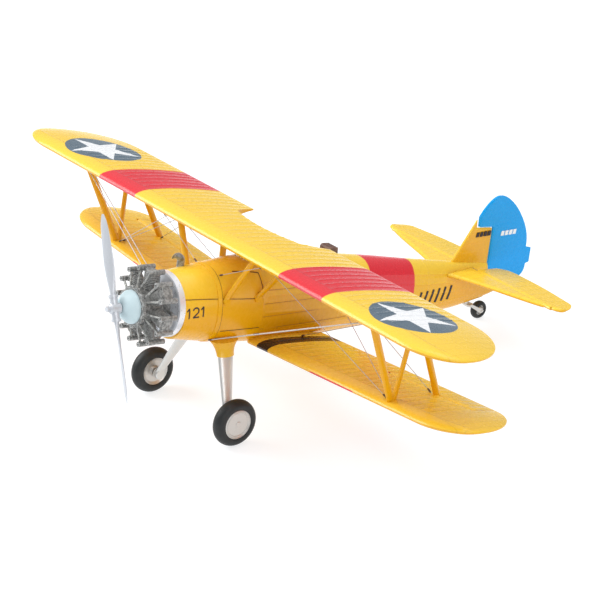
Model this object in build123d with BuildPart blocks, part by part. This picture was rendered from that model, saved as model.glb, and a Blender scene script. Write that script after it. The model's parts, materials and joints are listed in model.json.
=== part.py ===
from build123d import *
import os
from math import cos, pi, radians, sin, sqrt, tan

# A 1:48 scale model of a two-seat, open-cockpit biplane trainer with a seven-cylinder radial engine,
# standing on its main wheels and tail wheel.
#
# Every piece is drawn in the aircraft's own datum, in millimetres: X to port, Y aft and Z up, with the
# origin at the middle of the propeller hub. save() then pitches each piece nose-up into the stance on the
# ground, with the tyres on Z = 0 and the origin under the middle of the whole model.

# ---- stance -------------------------------------------------------------------------------------
GROUND_ANGLE = 8.0          # nose-up pitch on three wheels, degrees
HUB_HEIGHT = 42.14          # propeller hub above the ground
HUB_AHEAD = 75.99           # propeller hub ahead of the middle of the model
STANCE = Location((0, -HUB_AHEAD, HUB_HEIGHT), (-GROUND_ANGLE, 0, 0))
GROUND_UP = Vector(0, -sin(radians(GROUND_ANGLE)), cos(radians(GROUND_ANGLE)))

# ---- general fits -------------------------------------------------------------------------------
RUNNING_GAP = 0.07          # radial clearance of a shaft in its bore
HINGE_GAP = 0.25            # gap along a control surface
WIRE_RADIUS = 0.17
PIN_RADIUS = 0.3

# ---- fuselage: aft, half width, top, bottom, squareness (2 is an ellipse) ------------------------
BODY_STATIONS = (
    (17.3, 9.5, 8.3, -11.1, 2.0),
    (30.0, 9.6, 9.2, -13.5, 2.25),
    (43.0, 9.5, 9.9, -15.4, 2.45),
    (58.0, 9.2, 8.9, -16.5, 2.5),
    (74.0, 8.5, 6.6, -17.0, 2.5),
    (90.0, 7.1, 4.1, -17.1, 2.5),
    (106.0, 5.4, 1.2, -17.2, 2.4),
    (125.0, 3.3, -2.0, -17.4, 2.3),
    (140.0, 1.3, -4.3, -15.8, 2.2),
)
SECTION_POINTS = 16
SHELL = 0.9                 # wall of the fuselage shells
COWL_BACK = 30.0            # joint between the front cowl and the fuselage shells
HOLLOW_BACK = 118.0         # the shells are solid aft of here
COCKPIT_HALF_WIDTH = 4.7
FRONT_COCKPIT = (44.5, 55.5)
REAR_COCKPIT = (61.0, 71.5)
SEAT_BEHIND_PANEL = 3.1     # front of a seat pan aft of its cockpit's front edge
SCREEN_AHEAD = (5.3, 4.8)   # foot of each windscreen ahead of its cockpit
FLOOR_Z = -9.5

# ---- engine, measured along and around the thrust line -------------------------------------------
THRUST_TILT = 3.0           # the thrust line rises towards the nose, degrees
CYLINDERS = 7
CYLINDER_AFT = 11.0
CASE_RADIUS = 4.4
BARREL_RADIUS = 1.6
FIN_RADIUS = 2.1
ROCKER_CIRCLE = 10.85
ROCKER_ANGLE = 360 / CYLINDERS / 4
ROCKER_RADIUS = 0.75
SHAFT_RADIUS = 0.8
PROP_RADIUS = 26.4
PROP_ANGLE = 26.4           # blade line from the vertical, upper blade to starboard, degrees

# ---- undercarriage ------------------------------------------------------------------------------
WHEEL_CENTRE = Vector(20.7, 30.1, -31.25)
TYRE_RADIUS = 7.0
TYRE_HALF_WIDTH = 2.1
RIM_RADIUS = 3.9
AXLE_RADIUS = 0.6
LEG_TOP = Vector(9.6, 33.0, -15.5)
LEG_FOOT_X = 17.2
TAIL_WHEEL_CENTRE = Vector(0, 139.5, -20.02)
TAIL_TYRE_RADIUS = 2.9
SWIVEL = Vector(0, 134.0, -16.6)
POST_RADIUS = 0.62

# ---- struts -------------------------------------------------------------------------------------
STRUT_TOP_X = 68.9
STRUT_FOOT_X = 67.2
CABANE_TOP_X = 18.3
SOCKET = 0.35               # how far a strut end sits inside a wing skin

# ---- wing section, as shares of the chord ---------------------------------------------------------
AEROFOIL_STEPS = 8
HALF_THICKNESS = 0.052
NOSE_SHARE = 0.2            # the elliptical nose ends here
TAPER_POWER = 1.7
CAMBER = 0.010
TRAILING_HALF_THICKNESS = 0.17      # millimetres
AILERON_SPAN = (46.0, 81.5)
AILERON_SHARE = 0.74        # hinge line
CUT_OUT = ((0, 20.2), (14.6, 22.8), (18.6, 33.0))   # edge over the rear cockpit: across, aft of the nose

# ---- tail ---------------------------------------------------------------------------------------
TAILPLANE_Z = -5.0
TAIL_HALF_THICKNESS = 0.7
ELEVATOR_HINGE_Y = 132.8
RUDDER_HINGE_Y = 140.7
RUDDER_HALF_THICKNESS = 0.55


class WingShape:
    """The plan, section and set of one wing, with rounded tips drawn as quarter ellipses."""

    def __init__(self, lead_y, lead_z, chord, incidence, dihedral, tip_x, tip_aft, nose_x, tail_x):
        self.lead_y = lead_y            # leading edge on the centre line
        self.lead_z = lead_z
        self.chord = chord
        self.incidence = radians(incidence)
        self.dihedral = radians(dihedral)
        self.tip_x = tip_x              # tip, and how far it lies aft of the leading edge
        self.tip_aft = tip_aft
        self.nose_x = nose_x            # where the leading and trailing edges start to curve
        self.tail_x = tail_x

    def edges(self, span):
        """Distances of the leading and trailing edges aft of the straight leading edge."""
        nose_share = max(0.0, (span - self.nose_x) / (self.tip_x - self.nose_x))
        tail_share = max(0.0, (span - self.tail_x) / (self.tip_x - self.tail_x))
        lead = self.tip_aft * (1 - sqrt(1 - nose_share**2))
        trail = self.tip_aft + (self.chord - self.tip_aft) * sqrt(1 - tail_share**2)
        return lead, trail

    def point(self, span, aft, above, side=1):
        """A point given along the span, aft along the chord and square to the chord."""
        return Vector(
            side * span,
            self.lead_y + aft * cos(self.incidence) + above * sin(self.incidence),
            self.lead_z + span * tan(self.dihedral) - aft * sin(self.incidence)
            + above * cos(self.incidence),
        )

    def skin(self, span, share, top, side=1):
        """A point on the upper or lower skin, at a share of the chord."""
        aft, above = aerofoil_point(share, self.chord, top)
        return self.point(span, aft, above, side)

    def section(self, span, side=1):
        """The closed aerofoil at one station of the span."""
        lead, trail = self.edges(span)
        plane = Plane(
            origin=self.point(span, lead, 0, side),
            x_dir=(0, cos(self.incidence), -sin(self.incidence)),
            z_dir=(1, 0, 0),
        )
        steps = [step / AEROFOIL_STEPS for step in range(AEROFOIL_STEPS + 1)]
        shares = [(1 - cos(pi * step)) / 2 for step in steps]
        upper = [aerofoil_point(share, trail - lead, True) for share in reversed(shares)]
        lower = [aerofoil_point(share, trail - lead, False) for share in shares[1:]]
        with BuildSketch(plane) as outline:
            with BuildLine():
                Spline(*upper, *lower)
                Line(lower[-1], upper[0])
            make_face()
        return outline.sketch


def aerofoil_point(share, chord, top):
    """A point of a thin section: an elliptical nose, then a long taper to a blunt trailing edge."""
    nose = sqrt(1 - (1 - min(share / NOSE_SHARE, 1)) ** 2)
    taper = 1 - (max(share - NOSE_SHARE, 0) / (1 - NOSE_SHARE)) ** TAPER_POWER
    camber = 4 * CAMBER * share * (1 - share)
    side = 1 if top else -1
    half = HALF_THICKNESS * nose * taper
    return share * chord, (camber + side * half) * chord + side * TRAILING_HALF_THICKNESS * share


UPPER_WING = WingShape(
    lead_y=28.0, lead_z=18.4, chord=31.6, incidence=4.0, dihedral=0.0,
    tip_x=102.1, tip_aft=11.0, nose_x=86.0, tail_x=79.0,
)
LOWER_WING = WingShape(
    lead_y=43.2, lead_z=-14.6, chord=27.7, incidence=3.0, dihedral=4.4,
    tip_x=94.6, tip_aft=12.5, nose_x=80.0, tail_x=82.0,
)
LOWER_ROOT_X = 6.0


# ---- helpers ------------------------------------------------------------------------------------
def save(piece, name):
    """Label a finished piece, set it in its stance on the ground and write it."""
    piece.part.label = name
    piece.part.locate(STANCE)
    export_step(piece.part, f"parts/{name}.step")


def save_pair(port_piece, stem):
    """Write a port piece and its mirror image to starboard."""
    with BuildPart() as starboard_piece:
        mirror(port_piece.part, about=Plane.YZ)
    save(port_piece, f"{stem}_left")
    save(starboard_piece, f"{stem}_right")


def rod(start, end, radius):
    """A round bar from one point to another."""
    run = Vector(end) - Vector(start)
    with BuildPart() as bar:
        with BuildSketch(Plane(origin=start, z_dir=run)):
            Circle(radius)
        extrude(amount=run.length)
    return bar.part


def streamlined_strut(start, end, chord, thickness):
    """A strut of flattened oval section, its long side fore and aft."""
    run = Vector(end) - Vector(start)
    along = run.normalized()
    aft = Vector(0, 1, 0) - along * along.Y
    with BuildPart() as strut:
        with BuildSketch(Plane(origin=start, x_dir=aft, z_dir=run)):
            Ellipse(chord / 2, thickness / 2)
        extrude(amount=run.length)
    return strut.part


def cross_plane(aft):
    """The plane across the fuselage at a station: X to port and Y up."""
    return Plane(origin=(0, aft, 0), x_dir=(1, 0, 0), z_dir=(0, -1, 0))


def power(value, exponent):
    """A power that keeps the sign of its base."""
    return (1 if value >= 0 else -1) * abs(value) ** exponent


def body_section(station, grow):
    """The rounded-square outline of the fuselage at a station, grown or shrunk all round."""
    aft, half_width, top, bottom, squareness = station
    middle = (top + bottom) / 2
    half_height = (top - bottom) / 2 + grow
    points = []
    for step in range(SECTION_POINTS):
        angle = 2 * pi * step / SECTION_POINTS
        across = (half_width + grow) * power(cos(angle), 2 / squareness)
        points.append((across, middle + half_height * power(sin(angle), 2 / squareness)))
    with BuildSketch(cross_plane(aft)) as outline:
        with BuildLine():
            Spline(*points, periodic=True)
        make_face()
    return outline.sketch


def body_solid(grow):
    """The whole fuselage as one solid."""
    with BuildPart() as body:
        loft([body_section(station, grow) for station in BODY_STATIONS])
    return body.part


def body_half_width(aft):
    """Half the fuselage's width at a station, between the listed ones."""
    for front, back in zip(BODY_STATIONS, BODY_STATIONS[1:]):
        if front[0] <= aft <= back[0]:
            share = (aft - front[0]) / (back[0] - front[0])
            return front[1] + share * (back[1] - front[1])
    return BODY_STATIONS[-1][1]


def cockpit_outline(cockpit, grow):
    """The rounded opening of one cockpit, seen from above."""
    front, back = cockpit
    with BuildSketch(Plane(origin=(0, (front + back) / 2, 0))) as opening:
        RectangleRounded(
            2 * (COCKPIT_HALF_WIDTH + grow), back - front + 2 * grow, 3.2 + grow,
        )
    return opening.sketch


BODY = body_solid(0)


# ---- fuselage -----------------------------------------------------------------------------------
def make_shell():
    """The hollow fuselage skin with both cockpit openings, the tail fairing and its bores."""
    with BuildPart() as hollow:
        add(body_solid(-SHELL))
        split(bisect_by=cross_plane(HOLLOW_BACK), keep=Keep.TOP)
    with BuildPart() as shell:
        add(BODY)
        with BuildSketch(Plane.YZ):
            with BuildLine():
                Polyline((139, -11.4), (145.9, -12.4), (146.3, -13.9), (139, -15.3), close=True)
            make_face()
        extrude(amount=0.8, both=True)
        add(hollow.part, mode=Mode.SUBTRACT)
        for cockpit in (FRONT_COCKPIT, REAR_COCKPIT):
            extrude(cockpit_outline(cockpit, 0), amount=20, mode=Mode.SUBTRACT)
        add(rod(SWIVEL - GROUND_UP * 3, SWIVEL + GROUND_UP * 5, POST_RADIUS), mode=Mode.SUBTRACT)
        add(elevator_axle(PIN_RADIUS + 0.1 + RUNNING_GAP), mode=Mode.SUBTRACT)
    return shell.part


def elevator_axle(radius):
    """The bar that joins both elevators through the tail."""
    return rod((-6.5, ELEVATOR_HINGE_Y, TAILPLANE_Z), (6.5, ELEVATOR_HINGE_Y, TAILPLANE_Z), radius)


def half_of(solid, keep):
    """One side of a solid that is split down the centre line."""
    with BuildPart() as half:
        add(solid)
        split(bisect_by=Plane.YZ, keep=keep)
    return half


def make_fuselage():
    shell = make_shell()
    with BuildPart() as cowl:
        add(shell)
        split(bisect_by=cross_plane(COWL_BACK), keep=Keep.TOP)
    save(cowl, "front_cowl")
    with BuildPart() as rear:
        add(shell)
        split(bisect_by=cross_plane(COWL_BACK), keep=Keep.BOTTOM)
    port = half_of(rear.part, Keep.TOP)
    starboard = half_of(rear.part, Keep.BOTTOM)
    save(port, "fuselage_left")
    save(starboard, "fuselage_right")


def make_air_scoop():
    """The elbow pipe on the cowl: up out of the skin, then bent forward."""
    bend = 1.5
    foot = Vector(-4.0, 24.0, 7.0)
    with BuildPart() as scoop:
        with BuildLine() as route:
            rise = Line(foot, foot + Vector(0, 0, 2.9))
            turn = RadiusArc(rise @ 1, (rise @ 1) + Vector(0, -bend, bend), bend)
            Line(turn @ 1, (turn @ 1) - Vector(0, 1.0, 0))
        with BuildSketch(Plane(origin=foot, z_dir=(0, 0, 1))):
            Circle(1.1)
        sweep(path=route.line)
        add(BODY, mode=Mode.SUBTRACT)
    save(scoop, "air_scoop")


# ---- cockpits -----------------------------------------------------------------------------------
def make_cockpit_floor():
    with BuildPart() as floor:
        with BuildSketch(Plane.XY.offset(FLOOR_Z)):
            with Locations((0, 57)):
                RectangleRounded(14.0, 38, 1.5)
        extrude(amount=-0.8)
    save(floor, "cockpit_floor")


def make_seat(seat_y, name):
    """A bucket seat on two bearers: pan, back and low sides from one pressing."""
    width, depth, rise = 6.2, 5.4, 3.6
    pan_z = FLOOR_Z + rise
    with BuildPart() as seat:
        with BuildSketch(Plane.YZ):
            with BuildLine():
                Polyline(
                    (seat_y, pan_z), (seat_y + depth, pan_z), (seat_y + depth + 1.0, pan_z + 6.4),
                    (seat_y + depth - 1.6, pan_z + 6.4), (seat_y, pan_z + 2.2), close=True,
                )
            make_face()
        extrude(amount=width / 2, both=True)
        with BuildSketch(Plane.YZ):
            with BuildLine():
                Polyline(
                    (seat_y - 1, pan_z + 0.6), (seat_y + depth - 0.5, pan_z + 0.6),
                    (seat_y + depth + 0.6, pan_z + 7), (seat_y - 1, pan_z + 7), close=True,
                )
            make_face()
        extrude(amount=width / 2 - 0.5, both=True, mode=Mode.SUBTRACT)
        for across in (-width / 2 + 0.7, width / 2 - 0.7):
            with BuildSketch(Plane.XY.offset(FLOOR_Z)):
                with Locations((across, seat_y + depth / 2)):
                    Rectangle(0.6, depth - 1)
            extrude(amount=rise)
    save(seat, name)


def make_instrument_panels():
    """A half-round board with round dials in front of each seat."""
    with BuildPart() as boards:
        for cockpit, top in ((FRONT_COCKPIT, 8.0), (REAR_COCKPIT, 6.6)):
            board_plane = cross_plane(cockpit[0] + 0.6)
            with BuildSketch(board_plane):
                with BuildLine():
                    ThreePointArc((-6.2, top - 3.4), (0, top), (6.2, top - 3.4))
                    Polyline((6.2, top - 3.4), (6.2, top - 5.6), (-6.2, top - 5.6), (-6.2, top - 3.4))
                make_face()
            extrude(amount=0.5, both=True)
            with BuildSketch(board_plane.offset(-0.5)):
                with Locations(*((across, top - 3.2) for across in (-3.6, -1.2, 1.2, 3.6))):
                    Circle(0.85)
            extrude(amount=-0.25)
    save(boards, "instrument_panels")


def make_control_sticks():
    with BuildPart() as sticks:
        for cockpit in (FRONT_COCKPIT, REAR_COCKPIT):
            foot = Vector(0, cockpit[0] + 2.2, FLOOR_Z)
            add(rod(foot, foot + Vector(0, 0.5, 5.0), 0.28))
            add(rod(foot + Vector(0, 0.5, 4.6), foot + Vector(0, 0.6, 6.6), 0.45))
    save(sticks, "control_sticks")


def make_coamings():
    """Padded leather rims around both cockpits, following the curve of the deck."""
    with BuildPart() as rims:
        add(body_solid(0.5))
        with BuildSketch():
            for cockpit in (FRONT_COCKPIT, REAR_COCKPIT):
                add(cockpit_outline(cockpit, 0.45))
                add(cockpit_outline(cockpit, -0.35), mode=Mode.SUBTRACT)
        extrude(amount=20, mode=Mode.INTERSECT)
        add(BODY, mode=Mode.SUBTRACT)
    save(rims, "cockpit_coamings")


def make_windscreen(base_y, height, name):
    """A three-pane windscreen folded around the front of a cockpit."""
    thickness = 0.4
    base_z = 5.5
    lean = radians(30)
    with BuildPart() as screen:
        with BuildSketch(Plane(origin=(0, base_y, base_z))):
            with BuildLine():
                Polyline((-4.6, 3.4), (-2.3, 0), (2.3, 0), (4.6, 3.4))
                offset(amount=thickness, side=Side.LEFT)
            make_face()
        extrude(amount=height, dir=(0, sin(lean), cos(lean)))
        add(BODY, mode=Mode.SUBTRACT)
    save(screen, name)


def make_headrest():
    """The upholstered headrest behind the rear seat."""
    with BuildPart() as rest:
        with BuildSketch(Plane.YZ):
            with BuildLine():
                Polyline((73.3, 4.0), (73.1, 9.6), (76.3, 9.3), (76.6, 4.0), close=True)
            make_face()
        extrude(amount=2.3, both=True)
        fillet(rest.edges().group_by(Axis.Z)[-1], 0.9)
        add(BODY, mode=Mode.SUBTRACT)
    save(rest, "headrest")


# ---- engine and propeller -----------------------------------------------------------------------
THRUST = Plane(
    origin=(0, 0, 0), x_dir=(-1, 0, 0),
    z_dir=(0, cos(radians(THRUST_TILT)), -sin(radians(THRUST_TILT))),
)
THRUST_AXIS = Axis((0, 0, 0), THRUST.z_dir)
# Half-planes for turned pieces: X aft along the thrust line, Y outward.
TURNING = Plane(origin=(0, 0, 0), x_dir=THRUST.z_dir, z_dir=(1, 0, 0))


def outward(angle):
    """The direction at an angle from the top of the engine, turning to starboard."""
    return THRUST.y_dir * cos(radians(angle)) + THRUST.x_dir * sin(radians(angle))


def engine_point(aft, radius, angle):
    return THRUST.z_dir * aft + outward(angle) * radius


def turned(*outline):
    """A solid of revolution about the thrust line, from (aft, radius) corners."""
    with BuildPart() as lathe:
        with BuildSketch(TURNING):
            with BuildLine():
                Polyline(*outline, close=True)
            make_face()
        revolve(axis=THRUST_AXIS)
    return lathe.part


def make_crankcase():
    """Crankcase drum with its lobed front flange."""
    bore = SHAFT_RADIUS + RUNNING_GAP
    with BuildPart() as case:
        add(turned(
            (5.6, bore), (5.6, 5.4), (6.6, 5.4), (7.4, CASE_RADIUS), (13.2, CASE_RADIUS),
            (14.0, 5.2), (15.2, 5.2), (15.2, bore),
        ))
        with BuildSketch(THRUST.offset(5.5)):
            Circle(5.3)
            with PolarLocations(5.25, 2 * CYLINDERS):
                Circle(0.8)
            Circle(bore, mode=Mode.SUBTRACT)
        extrude(amount=0.9)
    save(case, "crankcase")


def make_nose_dome():
    """The smooth gear-case dome behind the propeller."""
    bore = SHAFT_RADIUS + RUNNING_GAP
    with BuildPart() as dome:
        with BuildSketch(TURNING):
            with BuildLine():
                Line((1.9, bore), (1.9, 1.5))
                ThreePointArc((1.9, 1.5), (3.1, 3.6), (4.9, 4.8))
                Polyline((4.9, 4.8), (5.5, 4.8), (5.5, bore), (1.9, bore))
            make_face()
        revolve(axis=THRUST_AXIS)
    save(dome, "nose_dome")


def make_backing_ring():
    """The bright dished ring that closes the front of the cowl."""
    with BuildPart() as ring:
        add(turned(
            (15.2, 0), (15.2, 5.6), (16.0, 8.4), (15.4, 8.8), (15.6, 9.4), (17.4, 9.5),
            (17.4, 8.6), (16.9, 8.0), (16.2, 5.0), (16.2, 0),
        ))
        add(BODY, mode=Mode.SUBTRACT)
    save(ring, "engine_backing_ring")


def make_cylinder(number):
    """A finned barrel with its head and two rocker boxes lying fore and aft."""
    angle = number * 360 / CYLINDERS
    fins, fin_pitch, fin_thickness, first_fin = 10, 0.5, 0.24, 5.3
    seat = Plane(
        origin=THRUST.z_dir * CYLINDER_AFT, x_dir=THRUST.z_dir, z_dir=outward(angle),
    )
    rocker_across = ROCKER_CIRCLE * sin(radians(ROCKER_ANGLE))
    rocker_out = ROCKER_CIRCLE * cos(radians(ROCKER_ANGLE))
    with BuildPart() as cylinder:
        with BuildSketch(seat.offset(4.0)):
            Circle(BARREL_RADIUS)
        extrude(amount=6.4)
        for fin in range(fins):
            with BuildSketch(seat.offset(first_fin + fin * fin_pitch)):
                Circle(FIN_RADIUS)
            extrude(amount=fin_thickness)
        with BuildSketch(seat.offset(9.5)):
            Rectangle(2.6, 2 * rocker_across)
        extrude(amount=rocker_out - 9.5)
        for side in (-1, 1):
            start = seat.from_local_coords(Vector(-3.2, side * rocker_across, rocker_out))
            with BuildSketch(Plane(origin=start, z_dir=THRUST.z_dir)):
                Circle(ROCKER_RADIUS)
            extrude(amount=5.5)
            with BuildSketch(Plane(origin=start, z_dir=THRUST.z_dir)):
                Circle(0.28)
            extrude(amount=0.5, mode=Mode.SUBTRACT)
    save(cylinder, f"cylinder_{number + 1}")


def make_pushrod_tubes():
    """Two tubes to each cylinder, splayed from the cam case to the rocker boxes."""
    with BuildPart() as tubes:
        for number in range(CYLINDERS):
            for side in (-1, 1):
                angle = number * 360 / CYLINDERS
                foot = engine_point(6.9, 4.8, angle + side * 7)
                head = engine_point(8.6, ROCKER_CIRCLE - 0.6, angle + side * ROCKER_ANGLE)
                add(rod(foot, head, 0.33))
    save(tubes, "pushrod_tubes")


def make_intake_pipes():
    """One pipe to each cylinder from the back of the crankcase."""
    with BuildPart() as pipes:
        for number in range(CYLINDERS):
            angle = number * 360 / CYLINDERS
            foot = engine_point(14.4, 4.9, angle + 14)
            elbow = engine_point(14.4, 8.0, angle + 9)
            head = engine_point(12.6, 9.7, angle + 4)
            with BuildLine() as route:
                FilletPolyline(foot, elbow, head, radius=1.0)
            with BuildSketch(Plane(origin=foot, z_dir=route.line % 0)):
                Circle(0.5)
            sweep(path=route.line)
    save(pipes, "intake_pipes")


def make_propeller():
    hub_radius = 1.45
    with BuildPart() as hub:
        with BuildSketch(THRUST.offset(-1.9)):
            Circle(hub_radius)
        extrude(amount=3.4)
        chamfer(hub.faces().sort_by(THRUST_AXIS)[0].edges(), 0.5)
        with BuildSketch(THRUST.offset(-2.8)):
            RegularPolygon(0.8, 6)
        extrude(amount=1.2)
        for end in (outward(PROP_ANGLE), outward(PROP_ANGLE + 180)):
            with BuildSketch(Plane(origin=end * 0.2, z_dir=end)):
                Circle(1.15)
            extrude(amount=3.6)
            with BuildSketch(Plane(origin=end * 3.0, z_dir=end)):
                Circle(1.4)
            extrude(amount=0.7)
    save(hub, "propeller_hub")

    # radius, chord, thickness and pitch angle along one blade
    blade_stations = (
        (3.2, 1.6, 1.5, 50), (5.5, 1.9, 1.2, 42), (10.0, 2.9, 0.85, 32), (15.0, 3.2, 0.7, 25),
        (20.0, 2.9, 0.55, 20), (24.0, 2.2, 0.4, 17), (PROP_RADIUS, 0.7, 0.25, 15),
    )
    with BuildPart() as blades:
        for end in (outward(PROP_ANGLE), outward(PROP_ANGLE + 180)):
            edge_on = end.cross(THRUST.z_dir)
            sections = []
            for radius, chord, thickness, pitch in blade_stations:
                chord_line = edge_on * cos(radians(pitch)) - THRUST.z_dir * sin(radians(pitch))
                with BuildSketch(Plane(origin=end * radius, x_dir=chord_line, z_dir=end)) as section:
                    Ellipse(chord / 2, thickness / 2)
                sections.append(section.sketch)
            loft(sections)
    save(blades, "propeller_blades")

    with BuildPart() as shaft:
        add(rod(THRUST.z_dir * -0.5, THRUST.z_dir * 12.0, SHAFT_RADIUS))
    save(shaft, "propeller_shaft")


# ---- wings --------------------------------------------------------------------------------------
def wing_panel(shape, root_x, side):
    """One side of a wing: a straight panel from the root, then the rounded tip."""
    straight_end = min(shape.nose_x, shape.tail_x)
    sweep_angles = (0, 22, 40, 55, 67, 77, 85)
    tip_stations = [
        straight_end + (shape.tip_x - straight_end) * sin(radians(angle)) for angle in sweep_angles
    ]
    with BuildPart() as panel:
        loft([shape.section(root_x, side), shape.section(straight_end, side)])
        loft([shape.section(span, side) for span in tip_stations])
    return panel.part


def make_upper_wing():
    """The upper wing in one piece, with the cut-out over the rear cockpit."""
    with BuildPart() as wing:
        add(wing_panel(UPPER_WING, 0, 1))
        add(wing_panel(UPPER_WING, 0, -1))
        edge = [(across, UPPER_WING.lead_y + aft) for across, aft in CUT_OUT]
        mirrored = [(-across, aft) for across, aft in reversed(edge[1:])]
        with BuildSketch(Plane.XY.offset(UPPER_WING.lead_z - 6)):
            with BuildLine():
                Spline(*mirrored, *edge)
                Line(edge[-1], mirrored[0])
            make_face()
        extrude(amount=12, mode=Mode.SUBTRACT)
    save(wing, "upper_wing")


def hinge_point(span, side):
    """A point on the aileron's hinge line."""
    aft = AILERON_SHARE * LOWER_WING.chord
    middle = (aerofoil_point(AILERON_SHARE, LOWER_WING.chord, True)[1]
              + aerofoil_point(AILERON_SHARE, LOWER_WING.chord, False)[1]) / 2
    return LOWER_WING.point(span, aft, middle, side)


def aileron_block(span_from, span_to, ahead):
    """The space behind a line along the hinge, cut square to the wing."""
    start = hinge_point(span_from, 1)
    end = hinge_point(span_to, 1)
    along = (end - start).normalized()
    aft = Vector(0, cos(LOWER_WING.incidence), -sin(LOWER_WING.incidence))
    with BuildPart() as block:
        with BuildSketch(Plane(origin=start - aft * ahead, x_dir=aft, z_dir=along)):
            Rectangle(14, 8, align=(Align.MIN, Align.CENTER))
        extrude(amount=(end - start).length)
    return block.part


def make_lower_wing():
    """A lower wing panel, its aileron and the aileron's hinge pins, then their mirror images."""
    top = aerofoil_point(AILERON_SHARE, LOWER_WING.chord, True)[1]
    bottom = aerofoil_point(AILERON_SHARE, LOWER_WING.chord, False)[1]
    nose_radius = (top - bottom) / 2
    inner, outer = AILERON_SPAN
    panel = wing_panel(LOWER_WING, LOWER_ROOT_X, 1)
    pin_ends = ((inner - 1.3, inner + 1.7), (outer - 1.7, outer + 1.3))
    with BuildPart() as wing:
        add(panel)
        add(BODY, mode=Mode.SUBTRACT)
        add(aileron_block(inner, outer, nose_radius + HINGE_GAP), mode=Mode.SUBTRACT)
        for start, end in pin_ends:
            add(rod(hinge_point(start, 1), hinge_point(end, 1), PIN_RADIUS), mode=Mode.SUBTRACT)
    with BuildPart() as aileron:
        add(panel)
        add(aileron_block(inner + HINGE_GAP, outer - HINGE_GAP, 0), mode=Mode.INTERSECT)
        add(rod(hinge_point(inner + HINGE_GAP, 1), hinge_point(outer - HINGE_GAP, 1), nose_radius))
        for start, end in pin_ends:
            bore = rod(hinge_point(start, 1), hinge_point(end + 0.3, 1), PIN_RADIUS + RUNNING_GAP)
            add(bore, mode=Mode.SUBTRACT)
    with BuildPart() as pins:
        for start, end in pin_ends:
            add(rod(hinge_point(start, 1), hinge_point(end, 1), PIN_RADIUS))
        mirror(about=Plane.YZ)
    save_pair(wing, "lower_wing")
    save_pair(aileron, "aileron")
    save(pins, "aileron_hinge_pins")


# ---- struts and rigging -------------------------------------------------------------------------
def make_interplane_struts():
    """The N of streamlined struts between the wings near each tip."""
    sink = Vector(0, 0, SOCKET)
    front_top = UPPER_WING.skin(STRUT_TOP_X, 0.19, False) + sink
    rear_top = UPPER_WING.skin(STRUT_TOP_X, 0.70, False) + sink
    front_foot = LOWER_WING.skin(STRUT_FOOT_X, 0.085, True) - sink
    rear_foot = LOWER_WING.skin(STRUT_FOOT_X, 0.69, True) - sink
    with BuildPart() as struts:
        add(streamlined_strut(front_foot, front_top, 2.3, 1.2))
        add(streamlined_strut(rear_foot, rear_top, 2.1, 1.2))
        add(streamlined_strut(front_foot + Vector(0, 0.9, 0), rear_top - Vector(0, 0.8, 0), 1.7, 1.0))
    save_pair(struts, "interplane_struts")


def make_cabane_struts():
    """Struts from the fuselage sides to the upper wing, splayed outward."""
    with BuildPart() as struts:
        for foot_y, foot_z, share in ((31.3, 1.2, 0.16), (42.6, 0.4, 0.69)):
            foot = Vector(body_half_width(foot_y) - 0.5, foot_y, foot_z)
            top = UPPER_WING.skin(CABANE_TOP_X, share, False) + Vector(0, 0, SOCKET)
            add(streamlined_strut(foot, top, 2.2, 1.1))
            add(rod(foot, foot + Vector(1.0, 0, 0), 1.1))
    save_pair(struts, "cabane_struts")


def make_rigging():
    """Paired flying and landing wires and a cabane wire, with their end fittings."""
    pair_gap = 1.1
    fitting_length, fitting_radius = 1.8, 0.32
    foot = LOWER_WING.skin(STRUT_FOOT_X - 1.6, 0.09, True)
    strut_top = UPPER_WING.skin(STRUT_TOP_X - 1.4, 0.185, False)
    cabane_front = UPPER_WING.skin(CABANE_TOP_X + 4.5, 0.16, False)
    cabane_rear = UPPER_WING.skin(CABANE_TOP_X + 7.7, 0.69, False)
    roll_top = UPPER_WING.skin(CABANE_TOP_X + 6.3, 0.10, False)
    roll_foot = Vector(5.4, 31.0, 7.6)
    rear_foot = LOWER_WING.skin(STRUT_FOOT_X - 1.4, 0.66, True)
    rear_top = UPPER_WING.skin(STRUT_TOP_X - 1.4, 0.70, False)
    keel = Vector(9.3, 28.6, -9.9)
    wing_root = LOWER_WING.skin(10.0, 0.60, True)
    routes = (
        (keel, strut_top), (keel - Vector(0, 2 * pair_gap, 0), strut_top - Vector(0, pair_gap, 0)),
        (wing_root, rear_top),
        (foot, cabane_front), (foot + Vector(0, pair_gap, 0), cabane_rear),
        (rear_foot, cabane_rear + Vector(0, pair_gap, 0)),
        (roll_foot, roll_top),
    )
    with BuildPart() as wires:
        for start, end in routes:
            add(rod(start, end, WIRE_RADIUS))
            for fixed, free in ((start, end), (end, start)):
                run = (free - fixed).normalized()
                add(rod(fixed, fixed + run * fitting_length, fitting_radius))
    save_pair(wires, "rigging")


# ---- undercarriage ------------------------------------------------------------------------------
def oval(centre, length, width):
    """A level oval section of an undercarriage leg, its long side fore and aft."""
    with BuildSketch(Plane(origin=centre, x_dir=(0, 1, 0), z_dir=(0, 0, 1))) as section:
        Ellipse(length / 2, width / 2)
    return section.sketch


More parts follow.
